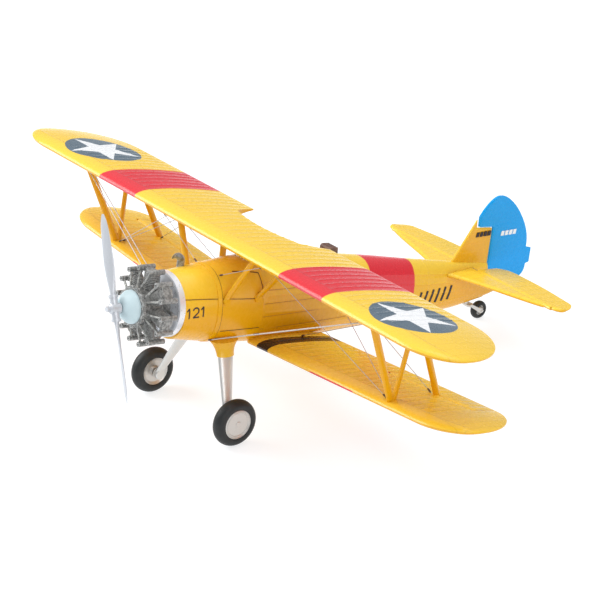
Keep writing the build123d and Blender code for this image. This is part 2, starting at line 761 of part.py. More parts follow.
def make_gear_legs():
    axle_y, axle_z = WHEEL_CENTRE.Y, WHEEL_CENTRE.Z
    with BuildPart() as leg:
        loft([oval(LEG_TOP, 5.1, 2.4), oval(Vector(LEG_FOOT_X, axle_y, axle_z + 0.6), 2.8, 1.6)])
        with BuildSketch(Plane(origin=(16.2, axle_y, axle_z), z_dir=(1, 0, 0))):
            Circle(1.6)
        extrude(amount=2.0)
        fillet(leg.faces().filter_by(Axis.X).edges(), 0.4)
    save_pair(leg, "gear_leg")

    with BuildPart() as fairing:
        loft([
            oval(LEG_TOP, 5.7, 3.0), oval(LEG_TOP + Vector(-0.9, 0.2, 1.6), 6.2, 3.8),
            oval(LEG_TOP + Vector(-2.4, 0.6, 4.0), 9.6, 6.0),
        ])
        add(BODY, mode=Mode.SUBTRACT)
    save_pair(fairing, "gear_fairing")

    with BuildPart() as axle:
        add(rod((16.6, axle_y, axle_z), (21.7, axle_y, axle_z), AXLE_RADIUS))
    save_pair(axle, "wheel_axle")


def wheel_profile(centre):
    """The plane for a wheel's turned section: X outboard and Y outward from the axle."""
    return Plane(origin=centre, x_dir=(1, 0, 0), z_dir=(0, -1, 0))


def make_main_wheels():
    axis = Axis(WHEEL_CENTRE, (1, 0, 0))
    bore = AXLE_RADIUS + RUNNING_GAP
    with BuildPart() as tyre:
        with BuildSketch(wheel_profile(WHEEL_CENTRE)):
            with Locations((0, TYRE_RADIUS - 1.8)):
                Ellipse(TYRE_HALF_WIDTH, 1.8)
            with Locations((0, 0)):
                Rectangle(6, 2 * RIM_RADIUS, mode=Mode.SUBTRACT)
        revolve(axis=axis)
    save_pair(tyre, "tyre")

    with BuildPart() as wheel:
        with BuildSketch(wheel_profile(WHEEL_CENTRE)):
            with BuildLine():
                Polyline(
                    (-1.3, bore), (-2.0, bore), (-2.0, 1.3), (-1.1, 1.7), (-1.3, 3.1), (-1.75, 3.2),
                    (-1.75, RIM_RADIUS), (1.75, RIM_RADIUS), (1.75, 3.35), (1.5, 3.2), (2.0, 1.2),
                    (2.1, 0), (1.2, 0), (1.2, bore), (-1.3, bore),
                )
            make_face()
        revolve(axis=axis)
    save_pair(wheel, "wheel")


def make_tail_wheel():
    axle = TAIL_WHEEL_CENTRE
    arm_across, arm_thickness = 1.55, 0.45
    with BuildPart() as fork:
        add(rod(SWIVEL - GROUND_UP * 1.2, SWIVEL + GROUND_UP * 4.0, POST_RADIUS - RUNNING_GAP))
        crown = SWIVEL - GROUND_UP * 1.3
        with BuildSketch(Plane(origin=crown, x_dir=(1, 0, 0), z_dir=GROUND_UP)):
            with Locations((0, 0.4)):
                RectangleRounded(2 * arm_across + arm_thickness, 2.2, 0.8)
        extrude(amount=0.6)
        for side in (-1, 1):
            with BuildSketch(Plane(origin=(side * arm_across, 0, 0), x_dir=(0, 1, 0), z_dir=(1, 0, 0))):
                with BuildLine():
                    Polyline(
                        (crown.Y - 0.6, crown.Z + 0.5), (crown.Y + 1.4, crown.Z + 0.4),
                        (axle.Y + 0.7, axle.Z + 0.2), (axle.Y - 0.3, axle.Z - 0.7), close=True,
                    )
                make_face()
            extrude(amount=arm_thickness / 2, both=True)
        add(rod((-arm_across - 0.4, axle.Y, axle.Z), (arm_across + 0.4, axle.Y, axle.Z), 0.4))
    save(fork, "tail_wheel_fork")

    wheel_axis = Axis(axle, (1, 0, 0))
    with BuildPart() as hub:
        with BuildSketch(wheel_profile(axle)):
            with BuildLine():
                Polyline(
                    (-1.2, 0.4 + RUNNING_GAP), (-1.2, 0.9), (-0.7, 1.3), (-0.7, 1.6), (0.7, 1.6),
                    (0.7, 1.3), (1.2, 0.9), (1.2, 0.4 + RUNNING_GAP), close=True,
                )
            make_face()
        revolve(axis=wheel_axis)
    save(hub, "tail_wheel_hub")

    with BuildPart() as tyre:
        with BuildSketch(wheel_profile(axle)):
            with Locations((0, TAIL_TYRE_RADIUS - 0.95)):
                Ellipse(1.15, 0.95)
            Rectangle(4, 2 * 1.6, mode=Mode.SUBTRACT)
        revolve(axis=wheel_axis)
    save(tyre, "tail_wheel_tyre")


# ---- tail ---------------------------------------------------------------------------------------
def make_tailplane():
    """The fixed tailplane, through the fuselage, and the elevators with their joining bar."""
    plan = Plane.XY.offset(TAILPLANE_Z)
    hinge = ELEVATOR_HINGE_Y
    gap = TAIL_HALF_THICKNESS + HINGE_GAP
    with BuildPart() as tailplane:
        with BuildSketch(plan):
            with BuildLine():
                front = Spline((0, 118.5), (2.8, 120.3), (20.8, 127.2), (35.5, hinge - gap))
                Line(front @ 1, (0, hinge - gap))
                Line((0, hinge - gap), front @ 0)
            make_face()
            mirror(about=Plane.YZ)
        extrude(amount=TAIL_HALF_THICKNESS, both=True)
        add(BODY, mode=Mode.SUBTRACT)
    save(tailplane, "tailplane")

    with BuildPart() as elevator:
        with BuildSketch(plan):
            with BuildLine():
                Polyline((4.2, hinge), (37.3, hinge))
                Spline((37.3, hinge), (40.3, 134.4), (40.2, 137.5), (36.6, 141.2))
                Spline((36.6, 141.2), (26, 142.6), (12.5, 143.3), (6.8, 142.6), (4.2, 140.6))
                Line((4.2, 140.6), (4.2, hinge))
            make_face()
        extrude(amount=TAIL_HALF_THICKNESS, both=True)
        add(rod((4.2, hinge, TAILPLANE_Z), (37.3, hinge, TAILPLANE_Z), TAIL_HALF_THICKNESS))
    save_pair(elevator, "elevator")

    with BuildPart() as bar:
        add(elevator_axle(PIN_RADIUS + 0.1))
    save(bar, "elevator_bar")


def make_fin():
    with BuildPart() as fin:
        with BuildSketch(Plane.YZ):
            with BuildLine():
                Polyline((124.0, -3.0), (129.0, 4.2), (133.4, 10.9), (133.6, 8.0), (140.0, 7.42),
                         (140.0, -5.2), close=True)
            make_face()
        extrude(amount=RUDDER_HALF_THICKNESS, both=True)
        add(BODY, mode=Mode.SUBTRACT)
    save(fin, "fin")


def make_rudder():
    """The balanced rudder with its trim tab, hung on a pin at the sternpost."""
    hinge = RUDDER_HINGE_Y
    with BuildPart() as rudder:
        with BuildSketch(Plane.YZ):
            with BuildLine():
                nose = Line((134.1, 8.2), (134.0, 11.4))
                lead = Spline(nose @ 1, (135.8, 13.9), (141.5, 17.7), (147.4, 15.2), (152.6, 9.5),
                              (155.3, 4.5), (156.2, -0.9))
                Polyline(lead @ 1, (158.4, -1.4), (158.4, -6.3), (156.9, -6.6))
                foot = Spline((156.9, -6.6), (155.6, -10.2), (152.0, -11.6), (146.4, -11.6))
                Polyline(foot @ 1, (hinge, -10.6), (hinge, 7.6), nose @ 0)
            make_face()
        extrude(amount=RUDDER_HALF_THICKNESS, both=True)
        add(rod((0, hinge, -10.6), (0, hinge, 7.6), RUDDER_HALF_THICKNESS))
        bore = rod((0, hinge, -11), (0, hinge, 4.3), PIN_RADIUS + RUNNING_GAP)
        add(bore, mode=Mode.SUBTRACT)
    save(rudder, "rudder")

    with BuildPart() as pin:
        add(rod((0, hinge, -13.2), (0, hinge, 4.0), PIN_RADIUS))
    save(pin, "rudder_hinge_pin")


def main():
    os.makedirs("parts", exist_ok=True)
    make_fuselage()
    make_air_scoop()
    make_cockpit_floor()
    make_seat(FRONT_COCKPIT[0] + SEAT_BEHIND_PANEL, "front_seat")
    make_seat(REAR_COCKPIT[0] + SEAT_BEHIND_PANEL, "rear_seat")
    make_instrument_panels()
    make_control_sticks()
    make_coamings()
    make_windscreen(FRONT_COCKPIT[0] - SCREEN_AHEAD[0], 7.4, "front_windscreen")
    make_windscreen(REAR_COCKPIT[0] - SCREEN_AHEAD[1], 6.6, "rear_windscreen")
    make_headrest()
    make_crankcase()
    make_nose_dome()
    make_backing_ring()
    for number in range(CYLINDERS):
        make_cylinder(number)
    make_pushrod_tubes()
    make_intake_pipes()
    make_propeller()
    make_upper_wing()
    make_lower_wing()
    make_interplane_struts()
    make_cabane_struts()
    make_rigging()
    make_gear_legs()
    make_main_wheels()
    make_tail_wheel()
    make_tailplane()
    make_fin()
    make_rudder()


if __name__ == "__main__":
    main()
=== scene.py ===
"""Looks of the biplane scale model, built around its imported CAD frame."""

from math import asin, cos, pi, radians, sin, sqrt, tan

import bmesh
import bpy
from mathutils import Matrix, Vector
from mathutils.bvhtree import BVHTree
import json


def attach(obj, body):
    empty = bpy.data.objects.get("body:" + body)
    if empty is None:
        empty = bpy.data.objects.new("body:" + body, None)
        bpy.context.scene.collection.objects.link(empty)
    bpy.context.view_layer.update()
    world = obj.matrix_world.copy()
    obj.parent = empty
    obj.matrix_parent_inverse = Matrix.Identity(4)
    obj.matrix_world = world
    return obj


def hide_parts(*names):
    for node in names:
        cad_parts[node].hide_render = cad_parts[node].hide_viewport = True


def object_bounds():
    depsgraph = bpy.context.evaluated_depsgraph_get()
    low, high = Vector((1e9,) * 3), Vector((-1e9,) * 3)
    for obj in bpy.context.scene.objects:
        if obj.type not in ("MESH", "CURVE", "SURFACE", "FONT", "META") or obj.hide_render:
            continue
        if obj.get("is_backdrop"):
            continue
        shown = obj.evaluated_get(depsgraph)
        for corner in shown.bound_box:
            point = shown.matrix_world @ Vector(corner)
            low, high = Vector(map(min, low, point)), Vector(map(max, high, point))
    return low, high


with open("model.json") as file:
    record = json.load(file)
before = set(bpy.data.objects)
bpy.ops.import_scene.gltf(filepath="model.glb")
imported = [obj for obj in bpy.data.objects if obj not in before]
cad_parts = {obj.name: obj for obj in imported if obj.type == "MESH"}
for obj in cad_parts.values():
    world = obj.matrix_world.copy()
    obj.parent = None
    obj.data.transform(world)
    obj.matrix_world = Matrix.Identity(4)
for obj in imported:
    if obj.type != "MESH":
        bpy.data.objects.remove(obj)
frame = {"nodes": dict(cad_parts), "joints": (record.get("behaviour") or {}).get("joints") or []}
size_lines = ["CAD box, metres", *[str(list(corner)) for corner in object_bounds()]]

# ---- the aircraft's datum ----
# Places are given in millimetres from the propeller hub: X to port, Y aft and Z up, as the aircraft
# flies. The model stands nose-up, so place() turns them into the frame with the joints' own axes.
joints = {joint["name"]: joint for joint in frame["joints"]}
MM = 0.001
HUB = Vector(joints["propeller_spin"]["pos_m"])
UP = Vector(joints["rudder_turn"]["axis"]).normalized()
PORT = Vector((1, 0, 0))
AFT = UP.cross(PORT)
PITCH = -UP.angle(Vector((0, 0, 1)))
SIDES = {"left": 1, "right": -1}        # port is positive

# ---- wings, as in the CAD ----
HALF_THICKNESS = 0.052      # share of the chord
NOSE_SHARE = 0.2            # the elliptical nose ends here
TAPER_POWER = 1.7
CAMBER = 0.010
TRAILING_HALF_THICKNESS = 0.17      # millimetres
SECTION_STEPS = 16
RIB_PITCH = 3.2
RIB_HEIGHT = 0.10
RIB_HALF_WIDTH = 0.22
RIB_SAG = 0.03              # how far the fabric sinks between ribs
SHEET_END = 0.17            # the plain leading-edge sheet ends at this share of the chord
SHEET_STEP = 0.08
HINGE_GAP = 0.25
UPPER_LEAD = 28.0           # the straight leading edges, aft of the hub, and the chords
UPPER_CHORD = 31.6
LOWER_LEAD = 43.2
LOWER_CHORD = 27.7
CUT_OUT = ((0, 20.2), (14.6, 22.8), (18.6, 33.0))   # edge over the rear cockpit: across, aft
WELD = 0.002                # points closer than this are one
AILERON_SPAN = (46.0, 81.5)
AILERON_SHARE = 0.74
AILERON_STEPS = 8
BAND = (35.0, 54.0)         # red band on the wings
WALKWAY_SPAN = (10.5, 15.6)
BODY_BAND = (86.9, 106.0)   # red band round the rear fuselage
LOWER_ROOT = 6.0
STAR_OUT = 74.5             # centres of the star discs
STAR_AFT = 14.8
DISC_RADIUS = 11.9
STAR_RADIUS = 11.7
FLYING_WIRE = 0.15          # radii of the rigging wires and their end fittings
LANDING_WIRE = 0.10
FITTING = 0.26
BUCKLE = 0.3
WIRE_PAIR_GAP = 1.1

# ---- wheels and tail ----
WHEEL_CENTRE = (20.7, 30.1, -31.25)
WHEEL_STEPS = 72
TAIL_Z = -5.0
TAIL_HALF = 0.7
TAIL_NOSE = 1.3             # length of the rounded leading edge
TAIL_RIB_PITCH = 3.4
TAIL_RIB_HEIGHT = 0.06
FIN_HALF = 0.55
TAIL_THIN = 0.14            # half thickness at the trailing edges
BLADE_STEPS = 14
DASHES = 4
TAIL_FAIRING = (            # aft, half width, top, bottom
    (136.0, 1.5, -9.0, -16.2),
    (139.0, 1.2, -10.6, -15.7),
    (142.0, 1.05, -11.6, -15.1),
    (144.6, 0.85, -12.1, -14.5),
    (146.0, 0.5, -12.6, -14.1),
    (146.35, 0.2, -13.0, -13.8),
)

# ---- fuselage: aft, half width, top, bottom, squareness ----
BODY_STATIONS = (
    (17.3, 9.5, 8.3, -11.1, 2.0),
    (30.0, 9.6, 9.2, -13.5, 2.25),
    (43.0, 9.5, 9.9, -15.4, 2.45),
    (58.0, 9.2, 8.9, -16.5, 2.5),
    (74.0, 8.5, 6.6, -17.0, 2.5),
    (90.0, 7.1, 4.1, -17.1, 2.5),
    (106.0, 5.4, 1.2, -17.2, 2.4),
    (125.0, 3.3, -2.0, -17.4, 2.3),
    (140.0, 1.3, -4.3, -15.8, 2.2),
)
BODY_STEPS = 72
STRINGERS = (0.62, 0.28, -0.12, -0.52)      # heights as shares of the half height
STRINGER_HEIGHT = 0.07
STRINGER_HALF_ANGLE = 0.035
BODY_FRAMES = (44.8, 74.2, 112.0)           # faint raised lines across the skin
COWL_LIP = 0.2
STRINGER_LINES = ((2.4, 2.6), (-1.6, 2.0), (-5.6, 1.4), (-9.6, 1.2))    # height and fall by y 86
REAR_BARS = 6
NUMBER_TOP = 0.6
NUMBER_FOOT = -2.4
NUMBER_MIDDLE = 20.9        # the number on the starboard side is turned about here
COWL_BACK = 30.0
SHELL = 0.9
HOLLOW_BACK = 118.0
COCKPITS = ((44.5, 55.5), (61.0, 71.5))
COCKPIT_HALF_WIDTH = 4.7

# ---- light ----
HORIZON = (0.22, 0.23, 0.25)
ZENITH = (0.74, 0.75, 0.77)
FLOOR_GLOW = 0.74

# ---- camera, in metres ----
CAMERA_AIM = Vector((0, -0.016574, 0.033790))
CAMERA_DISTANCE = 0.68246
CAMERA_AZIMUTH = radians(52.99)
CAMERA_ELEVATION = radians(24.88)
CAMERA_LENS = 140.06
CAMERA_SHIFT = (0.0231, -0.0310)


def place(x, y, z):
    """A datum point in the frame, in metres."""
    return HUB + (PORT * x + AFT * y + UP * z) * MM


# ==== shading ====
class Shader:
    """One procedural material, built node by node."""

    def __init__(self, name):
        self.material = bpy.data.materials.new(name)
        self.material.use_nodes = True
        self.tree = self.material.node_tree
        self.surface = self.tree.nodes["Principled BSDF"]
        where = self.tree.nodes.new("ShaderNodeTexCoord")
        datum = self.tree.nodes.new("ShaderNodeMapping")
        datum.vector_type = "TEXTURE"
        datum.inputs["Location"].default_value = HUB
        datum.inputs["Rotation"].default_value = (PITCH, 0, 0)
        datum.inputs["Scale"].default_value = (MM, MM, MM)
        self.tree.links.new(where.outputs["Object"], datum.inputs["Vector"])
        self.datum = datum.outputs["Vector"]
        parts = self.tree.nodes.new("ShaderNodeSeparateXYZ")
        self.tree.links.new(self.datum, parts.inputs["Vector"])
        self.x, self.y, self.z = parts.outputs

    def feed(self, socket, value):
        """Link an output to a socket, or set the socket to a value."""
        if isinstance(value, bpy.types.NodeSocket):
            self.tree.links.new(value, socket)
        elif hasattr(socket.default_value, "__len__") and len(socket.default_value) == 4:
            socket.default_value = (*value[:3], 1)
        else:
            socket.default_value = value

    def set(self, **values):
        """Set the surface's sockets, whose names are written with underscores."""
        for name, value in values.items():
            self.feed(self.surface.inputs[name.replace("_", " ")], value)

    def math(self, operation, *values):
        node = self.tree.nodes.new("ShaderNodeMath")
        node.operation = operation
        for socket, value in zip(node.inputs, values):
            self.feed(socket, value)
        return node.outputs[0]

    def add(self, *values):
        total = values[0]
        for value in values[1:]:
            total = self.math("ADD", total, value)
        return total

    def times(self, a, b):
        return self.math("MULTIPLY", a, b)

    def less(self, a, b):
        return self.math("SUBTRACT", a, b)

    def size(self, value):
        return self.math("ABSOLUTE", value)

    def near_rib(self, span, pitch, low):
        """0 between the ribs, rising to 1 beside each one, where paint and shade gather."""
        bay = self.math("FRACT", self.math("DIVIDE", span, pitch))
        return self.ramp(self.size(self.less(bay, 0.5)), low, 0.49)

    def between(self, value, low, high):
        """1 where the value lies between two limits."""
        return self.times(self.math("GREATER_THAN", value, low), self.math("LESS_THAN", value, high))

    def ramp(self, value, low, high, start=0.0, end=1.0):
        """A smooth change from start to end as the value goes from low to high."""
        node = self.tree.nodes.new("ShaderNodeMapRange")
        node.interpolation_type = "SMOOTHSTEP"
        for name, number in (("Value", value), ("From Min", low), ("From Max", high),
                             ("To Min", start), ("To Max", end)):
            self.feed(node.inputs[name], number)
        return node.outputs[0]

    def noise(self, scale, detail=3.0, factors=(1, 1, 1)):
        """Noise over the datum coordinates, which are multiplied along each axis."""
        stretch = self.tree.nodes.new("ShaderNodeVectorMath")
        stretch.operation = "MULTIPLY"
        self.feed(stretch.inputs[0], self.datum)
        stretch.inputs[1].default_value = factors
        node = self.tree.nodes.new("ShaderNodeTexNoise")
        self.feed(node.inputs["Vector"], stretch.outputs[0])
        node.inputs["Scale"].default_value = scale
        node.inputs["Detail"].default_value = detail
        return node.outputs["Fac"]

    def varied(self, base, amount, scale, detail=3.0):
        """A base value raised by up to an amount in the noise's pattern."""
        return self.add(base, self.times(self.noise(scale, detail), amount))

    def mix(self, factor, a, b):
        """Colour a where the factor is 0 and b where it is 1."""
        node = self.tree.nodes.new("ShaderNodeMix")
        node.data_type = "RGBA"
        self.feed(node.inputs["Factor"], factor)
        self.feed(node.inputs[6], a)
        self.feed(node.inputs[7], b)
        return node.outputs[2]

    def tone(self, colour, strength):
        """A colour made lighter or darker by a strength around 1."""
        node = self.tree.nodes.new("ShaderNodeHueSaturation")
        self.feed(node.inputs["Color"], colour)
        self.feed(node.inputs["Value"], strength)
        return node.outputs[0]

    def normal(self):
        return self.tree.nodes.new("ShaderNodeNewGeometry").outputs["Normal"]

    def dot(self, a, b):
        node = self.tree.nodes.new("ShaderNodeVectorMath")
        node.operation = "DOT_PRODUCT"
        self.feed(node.inputs[0], a)
        self.feed(node.inputs[1], b)
        return node.outputs["Value"]

    def upward(self):
        """The upward part of the surface's own normal."""
        turn = self.tree.nodes.new("ShaderNodeVectorTransform")
        turn.vector_type = "NORMAL"
        turn.convert_from = "WORLD"
        turn.convert_to = "OBJECT"
        self.feed(turn.inputs[0], self.normal())
        return self.dot(turn.outputs[0], UP)

    def edges(self, radius, low=0.02, high=0.16):
        """1 on sharp outer and inner edges, from how far the rounded normal leans."""
        bevel = self.tree.nodes.new("ShaderNodeBevel")
        bevel.samples = 4
        bevel.inputs["Radius"].default_value = radius * MM
        leaning = self.dot(bevel.outputs[0], self.normal())
        return self.ramp(self.less(1.0, leaning), low, high)

    def bump(self, height, strength, distance):
        node = self.tree.nodes.new("ShaderNodeBump")
        node.inputs["Strength"].default_value = strength
        node.inputs["Distance"].default_value = distance * MM
        self.feed(node.inputs["Height"], height)
        self.tree.links.new(node.outputs["Normal"], self.surface.inputs["Normal"])


YELLOW = (0.90, 0.585, 0.045)
# painted shade: the deeper orange given to faces that lean away from the top
PAINTED_SHADE_YELLOW = (0.80, 0.39, 0.001)
RED = (0.70, 0.022, 0.035)
BLUE = (0.0, 0.33, 0.78)
SLATE = (0.095, 0.14, 0.18)
WHITE = (0.86, 0.87, 0.88)
WALKWAY = (0.035, 0.017, 0.008)
INK = (0.022, 0.012, 0.02)


def yellow_with_painted_shade(shade):
    """Yellow enamel with painted shade: deeper orange on the sides and undersides, lighter on top."""
    # painted light and shade: 1 on faces turned up, 0 on faces turned down
    painted_light_share = shade.ramp(shade.upward(), -0.3, 0.8)
    return shade.mix(painted_light_share, PAINTED_SHADE_YELLOW, YELLOW)


def finish_paint(shade, colour, gloss=0.20, coat=0.22):
    """Satin enamel: slight cloudiness, uneven gloss and fine orange peel."""
    cloud = shade.varied(0.955, 0.06, 0.05, 2.0)
    tint = shade.add(cloud, shade.times(shade.noise(2.2, 4.0), 0.03))
    shade.set(
        Base_Color=shade.tone(colour, tint),
        Roughness=shade.varied(gloss, 0.14, 0.6, 5.0),
    )
    shade.surface.inputs["Specular IOR Level"].default_value = 0.32
    shade.surface.inputs["Coat Weight"].default_value = coat
    shade.surface.inputs["Coat Roughness"].default_value = 0.22
    peel = shade.add(shade.noise(3.2), shade.times(shade.noise(0.35, 2.0), 0.6))
    shade.bump(peel, 0.12, 0.012)
    return shade.material


def plain_paint(name, colour, gloss=0.20, coat=0.0):
    shade = Shader(name)
    return finish_paint(shade, colour, gloss, coat)


def yellow_enamel(name):
    shade = Shader(name)
    # yellow with painted shade on its sides and undersides
    return finish_paint(shade, yellow_with_painted_shade(shade))


def tail_enamel(name):
    """Yellow with painted shade on its sides and undersides, and a faint darker line of wash and painted
    shade along each rib of the tail.
    """
    shade = Shader(name)
    # a darker line of wash and painted shade along each rib
    wash_and_painted_shade = shade.near_rib(shade.size(shade.x), TAIL_RIB_PITCH, 0.42)
    return finish_paint(shade, shade.tone(yellow_with_painted_shade(shade), shade.add(1.0, shade.times(wash_and_painted_shade, -0.14))))


def star_mask(shade, across, along, radius):
    """1 inside a five-pointed star with one tip towards the leading edge."""
    inner = radius * cos(radians(72))
    inside = []
    for tip in range(5):
        angle = radians(72 * tip - 90)
        reach = shade.add(shade.times(across, cos(angle)), shade.times(along, sin(angle)))
        inside.append(shade.math("LESS_THAN", reach, inner))
    return shade.math("GREATER_THAN", shade.add(*inside), 3.5)


def wing_paint(name, lead_y, chord, stars):
    """Yellow with painted shade on its sides and undersides and a red band: star discs on the upper
    wing, a walkway on the lower ones.
    """
    shade = Shader(name)
    span = shade.size(shade.x)
    share = shade.math("DIVIDE", shade.less(shade.y, lead_y), chord)
    behind = shade.ramp(share, SHEET_END - 0.01, SHEET_END + 0.02)
    colour = shade.tone(yellow_with_painted_shade(shade), shade.varied(0.97, 0.05, 0.09, 2.0))
    band = shade.between(span, *BAND)
    if stars:
        colour = shade.mix(band, colour, RED)
        across = shade.less(span, STAR_OUT)
        along = shade.less(shade.y, lead_y + STAR_AFT)
        away = shade.math("SQRT", shade.add(shade.times(across, across), shade.times(along, along)))
        top = shade.math("GREATER_THAN", shade.upward(), 0.0)
        disc = shade.times(shade.math("LESS_THAN", away, DISC_RADIUS), top)
        colour = shade.mix(disc, colour, SLATE)
        star = shade.times(star_mask(shade, across, along, STAR_RADIUS), top)
        colour = shade.mix(star, colour, WHITE)
    else:
        under = shade.math("LESS_THAN", shade.upward(), 0.0)
        colour = shade.mix(shade.times(band, under), colour, RED)
        worn = shade.mix(shade.ramp(share, 0.1, 0.7), INK, WALKWAY)
        colour = shade.mix(shade.between(span, *WALKWAY_SPAN), colour, worn)
    # darker lines of wash and painted shade along each rib, and a dark line at the edge of the
    # leading-edge sheet
    edge = shade.between(share, SHEET_END - 0.002, SHEET_END + 0.01)
    ribs = shade.times(shade.near_rib(span, RIB_PITCH, 0.44), behind)
    wash_and_painted_shade = shade.math("MAXIMUM", ribs, edge)
    colour = shade.tone(colour, shade.add(1.0, shade.times(wash_and_painted_shade, -0.12)))
    return finish_paint(shade, colour)


def fuselage_paint(name):
    """Yellow with painted shade on its sides and undersides, and the red band round the rear fuselage.
    """
    shade = Shader(name)
    band = shade.between(shade.y, *BODY_BAND)
    return finish_paint(shade, shade.mix(band, yellow_with_painted_shade(shade), RED))


def pewter(name, colour=(0.40, 0.40, 0.385), light=(0.82, 0.81, 0.78), metal=0.3):
    """Dark grey casting, dry-brushed on its edges and mottled darker at random."""
    shade = Shader(name)
    mottle = shade.noise(1.3, 5.0)
    base = shade.mix(shade.ramp(mottle, 0.38, 0.66), tuple(c * 0.45 for c in colour), colour)
    rubbed = shade.ramp(shade.noise(2.6, 4.0), 0.30, 0.62, 0.45, 1.0)
    worn = shade.times(shade.edges(0.2, 0.01, 0.1), rubbed)
    shade.set(
        Base_Color=shade.mix(worn, base, light),
        Roughness=shade.varied(0.34, 0.28, 2.0, 4.0),
        Metallic=metal,
    )
    shade.bump(shade.noise(4.0, 6.0), 0.5, 0.05)
    return shade.material


def metal_paint(name, colour, roughness, metal, grain=(1, 1, 1)):
    """Silver paint or bare metal with a fine brushed grain."""
    shade = Shader(name)
    brushed = shade.noise(3.0, 5.0, grain)
    shade.set(
        Base_Color=shade.tone(colour, shade.add(0.93, shade.times(brushed, 0.14))),
        Roughness=shade.varied(roughness, 0.15, 1.2, 5.0),
        Metallic=metal,
    )
    shade.bump(brushed, 0.25, 0.02)
    return shade.material


def rubber(name):
    shade = Shader(name)
    grain = shade.noise(5.0, 5.0)
    dust = shade.ramp(shade.noise(0.5, 4.0), 0.45, 0.75)
    shade.set(
        Base_Color=shade.mix(dust, (0.007, 0.009, 0.009), (0.014, 0.016, 0.016)),
        Roughness=shade.add(0.42, shade.times(grain, 0.2)),
    )
    shade.bump(grain, 0.4, 0.03)
    return shade.material


def leather(name):
    """Brown paint over a moulded leather grain."""
    shade = Shader(name)
    cells = shade.tree.nodes.new("ShaderNodeTexVoronoi")
    cells.feature = "DISTANCE_TO_EDGE"
    shade.feed(cells.inputs["Vector"], shade.datum)
    cells.inputs["Scale"].default_value = 2.6
    crease = shade.ramp(cells.outputs["Distance"], 0.0, 0.12)
    patch = shade.noise(0.8, 4.0)
    colour = shade.mix(shade.ramp(patch, 0.35, 0.7), (0.10, 0.042, 0.026), (0.20, 0.10, 0.062))
    colour = shade.mix(shade.edges(0.3), colour, (0.30, 0.17, 0.11))
    shade.set(
        Base_Color=shade.tone(colour, shade.add(0.7, shade.times(crease, 0.3))),
        Roughness=shade.add(0.38, shade.times(patch, 0.2)),
    )
    shade.bump(crease, 0.4, 0.05)
    return shade.material


def interior(name, colour):
    shade = Shader(name)
    shade.set(
        Base_Color=shade.tone(colour, shade.varied(0.7, 0.5, 1.2, 4.0)),
        Roughness=shade.varied(0.5, 0.2, 2.0),
    )
    shade.bump(shade.noise(3.0, 4.0), 0.3, 0.03)
    return shade.material


def glass(name):
    shade = Shader(name)
    haze = shade.ramp(shade.noise(0.9, 4.0), 0.4, 0.8)
    shade.set(
        Base_Color=shade.mix(haze, (0.93, 0.96, 0.97), (0.80, 0.85, 0.87)),
        Roughness=shade.add(0.04, shade.times(haze, 0.1)),
    )
    shade.surface.inputs["Transmission Weight"].default_value = 0.92
    shade.surface.inputs["IOR"].default_value = 1.45
    return shade.material


MATERIALS = {
    "upper": wing_paint("upper_wing_paint", UPPER_LEAD, UPPER_CHORD, stars=True),
    "lower": wing_paint("lower_wing_paint", LOWER_LEAD, LOWER_CHORD, stars=False),
    "yellow": yellow_enamel("yellow_enamel"),
    "tail": tail_enamel("tail_enamel"),
    "body": fuselage_paint("fuselage_enamel"),
    "blue": plain_paint("blue_enamel", BLUE),
    "pewter": pewter("engine_pewter"),
    "tube": pewter("push_rod_metal", (0.48, 0.48, 0.45), (0.75, 0.75, 0.72), 0.5),
    "dome": plain_paint("dome_enamel", (0.56, 0.69, 0.72), 0.3),
    "silver": metal_paint("silver_enamel", (0.60, 0.62, 0.65), 0.3, 0.35),
    "ring": metal_paint("ring_metal", (0.82, 0.84, 0.88), 0.22, 0.45),
    "leg": metal_paint("leg_metal", (0.66, 0.66, 0.64), 0.3, 0.6, (1, 1, 6)),
    "wheel": metal_paint("wheel_metal", (0.60, 0.58, 0.55), 0.3, 0.8),
    "steel": metal_paint("turned_steel", (0.55, 0.55, 0.56), 0.25, 0.9),
    "wire": metal_paint("rigging_wire", (0.50, 0.48, 0.45), 0.35, 0.4),
    "rubber": rubber("tyre_rubber"),
    "leather": leather("painted_leather"),
    "green": interior("cockpit_green", (0.16, 0.19, 0.12)),
    "dark": interior("matt_black", (0.03, 0.03, 0.034)),
    "ink": interior("marking_ink", INK),
    "white": plain_paint("white_marking", WHITE, 0.4),
    "glass": glass("clear_screen"),
    "line": interior("panel_line", (0.13, 0.035, 0.003)),
    "faint_line": interior("stringer_line", (0.42, 0.15, 0.006)),
    "fitting": interior("wire_fitting", (0.12, 0.07, 0.045)),
}


def pairs(*names):
    """The left and right node of each name."""
    return [f"{name}_{word}" for name in names for word in SIDES]


CAD_FINISH = {
    "yellow": ["fin", "tailplane",
               *pairs("interplane_struts", "cabane_struts", "gear_fairing", "elevator")],
    "upper": ["upper_wing"],
    "lower": pairs("lower_wing", "aileron"),
    "body": ["front_cowl", *pairs("fuselage")],
    "blue": ["rudder"],
    "pewter": ["crankcase", "intake_pipes", "air_scoop", *[f"cylinder_{n}" for n in range(1, 8)]],
    "tube": ["pushrod_tubes"],
    "dome": ["nose_dome"],
    "silver": ["propeller_hub", "propeller_blades"],
    "ring": ["engine_backing_ring"],
    "leg": [*pairs("gear_leg"), "tail_wheel_fork"],
    "wheel": [*pairs("wheel"), "tail_wheel_hub"],
    "steel": ["propeller_shaft", *pairs("wheel_axle"), "elevator_bar", "rudder_hinge_pin",
              "aileron_hinge_pins"],
    "wire": pairs("rigging"),
    "rubber": [*pairs("tyre"), "tail_wheel_tyre"],
    "leather": ["cockpit_coamings", "headrest"],
    "green": ["cockpit_floor", "front_seat", "rear_seat"],
    "dark": ["instrument_panels", "control_sticks"],
    "glass": ["front_windscreen", "rear_windscreen"],
}


def finish_cad_nodes():
    """Give every carried-over CAD node its material."""
    for key, names in CAD_FINISH.items():
        for name in names:
            node = frame["nodes"][name]
            node.data.materials.clear()
            node.data.materials.append(MATERIALS[key])


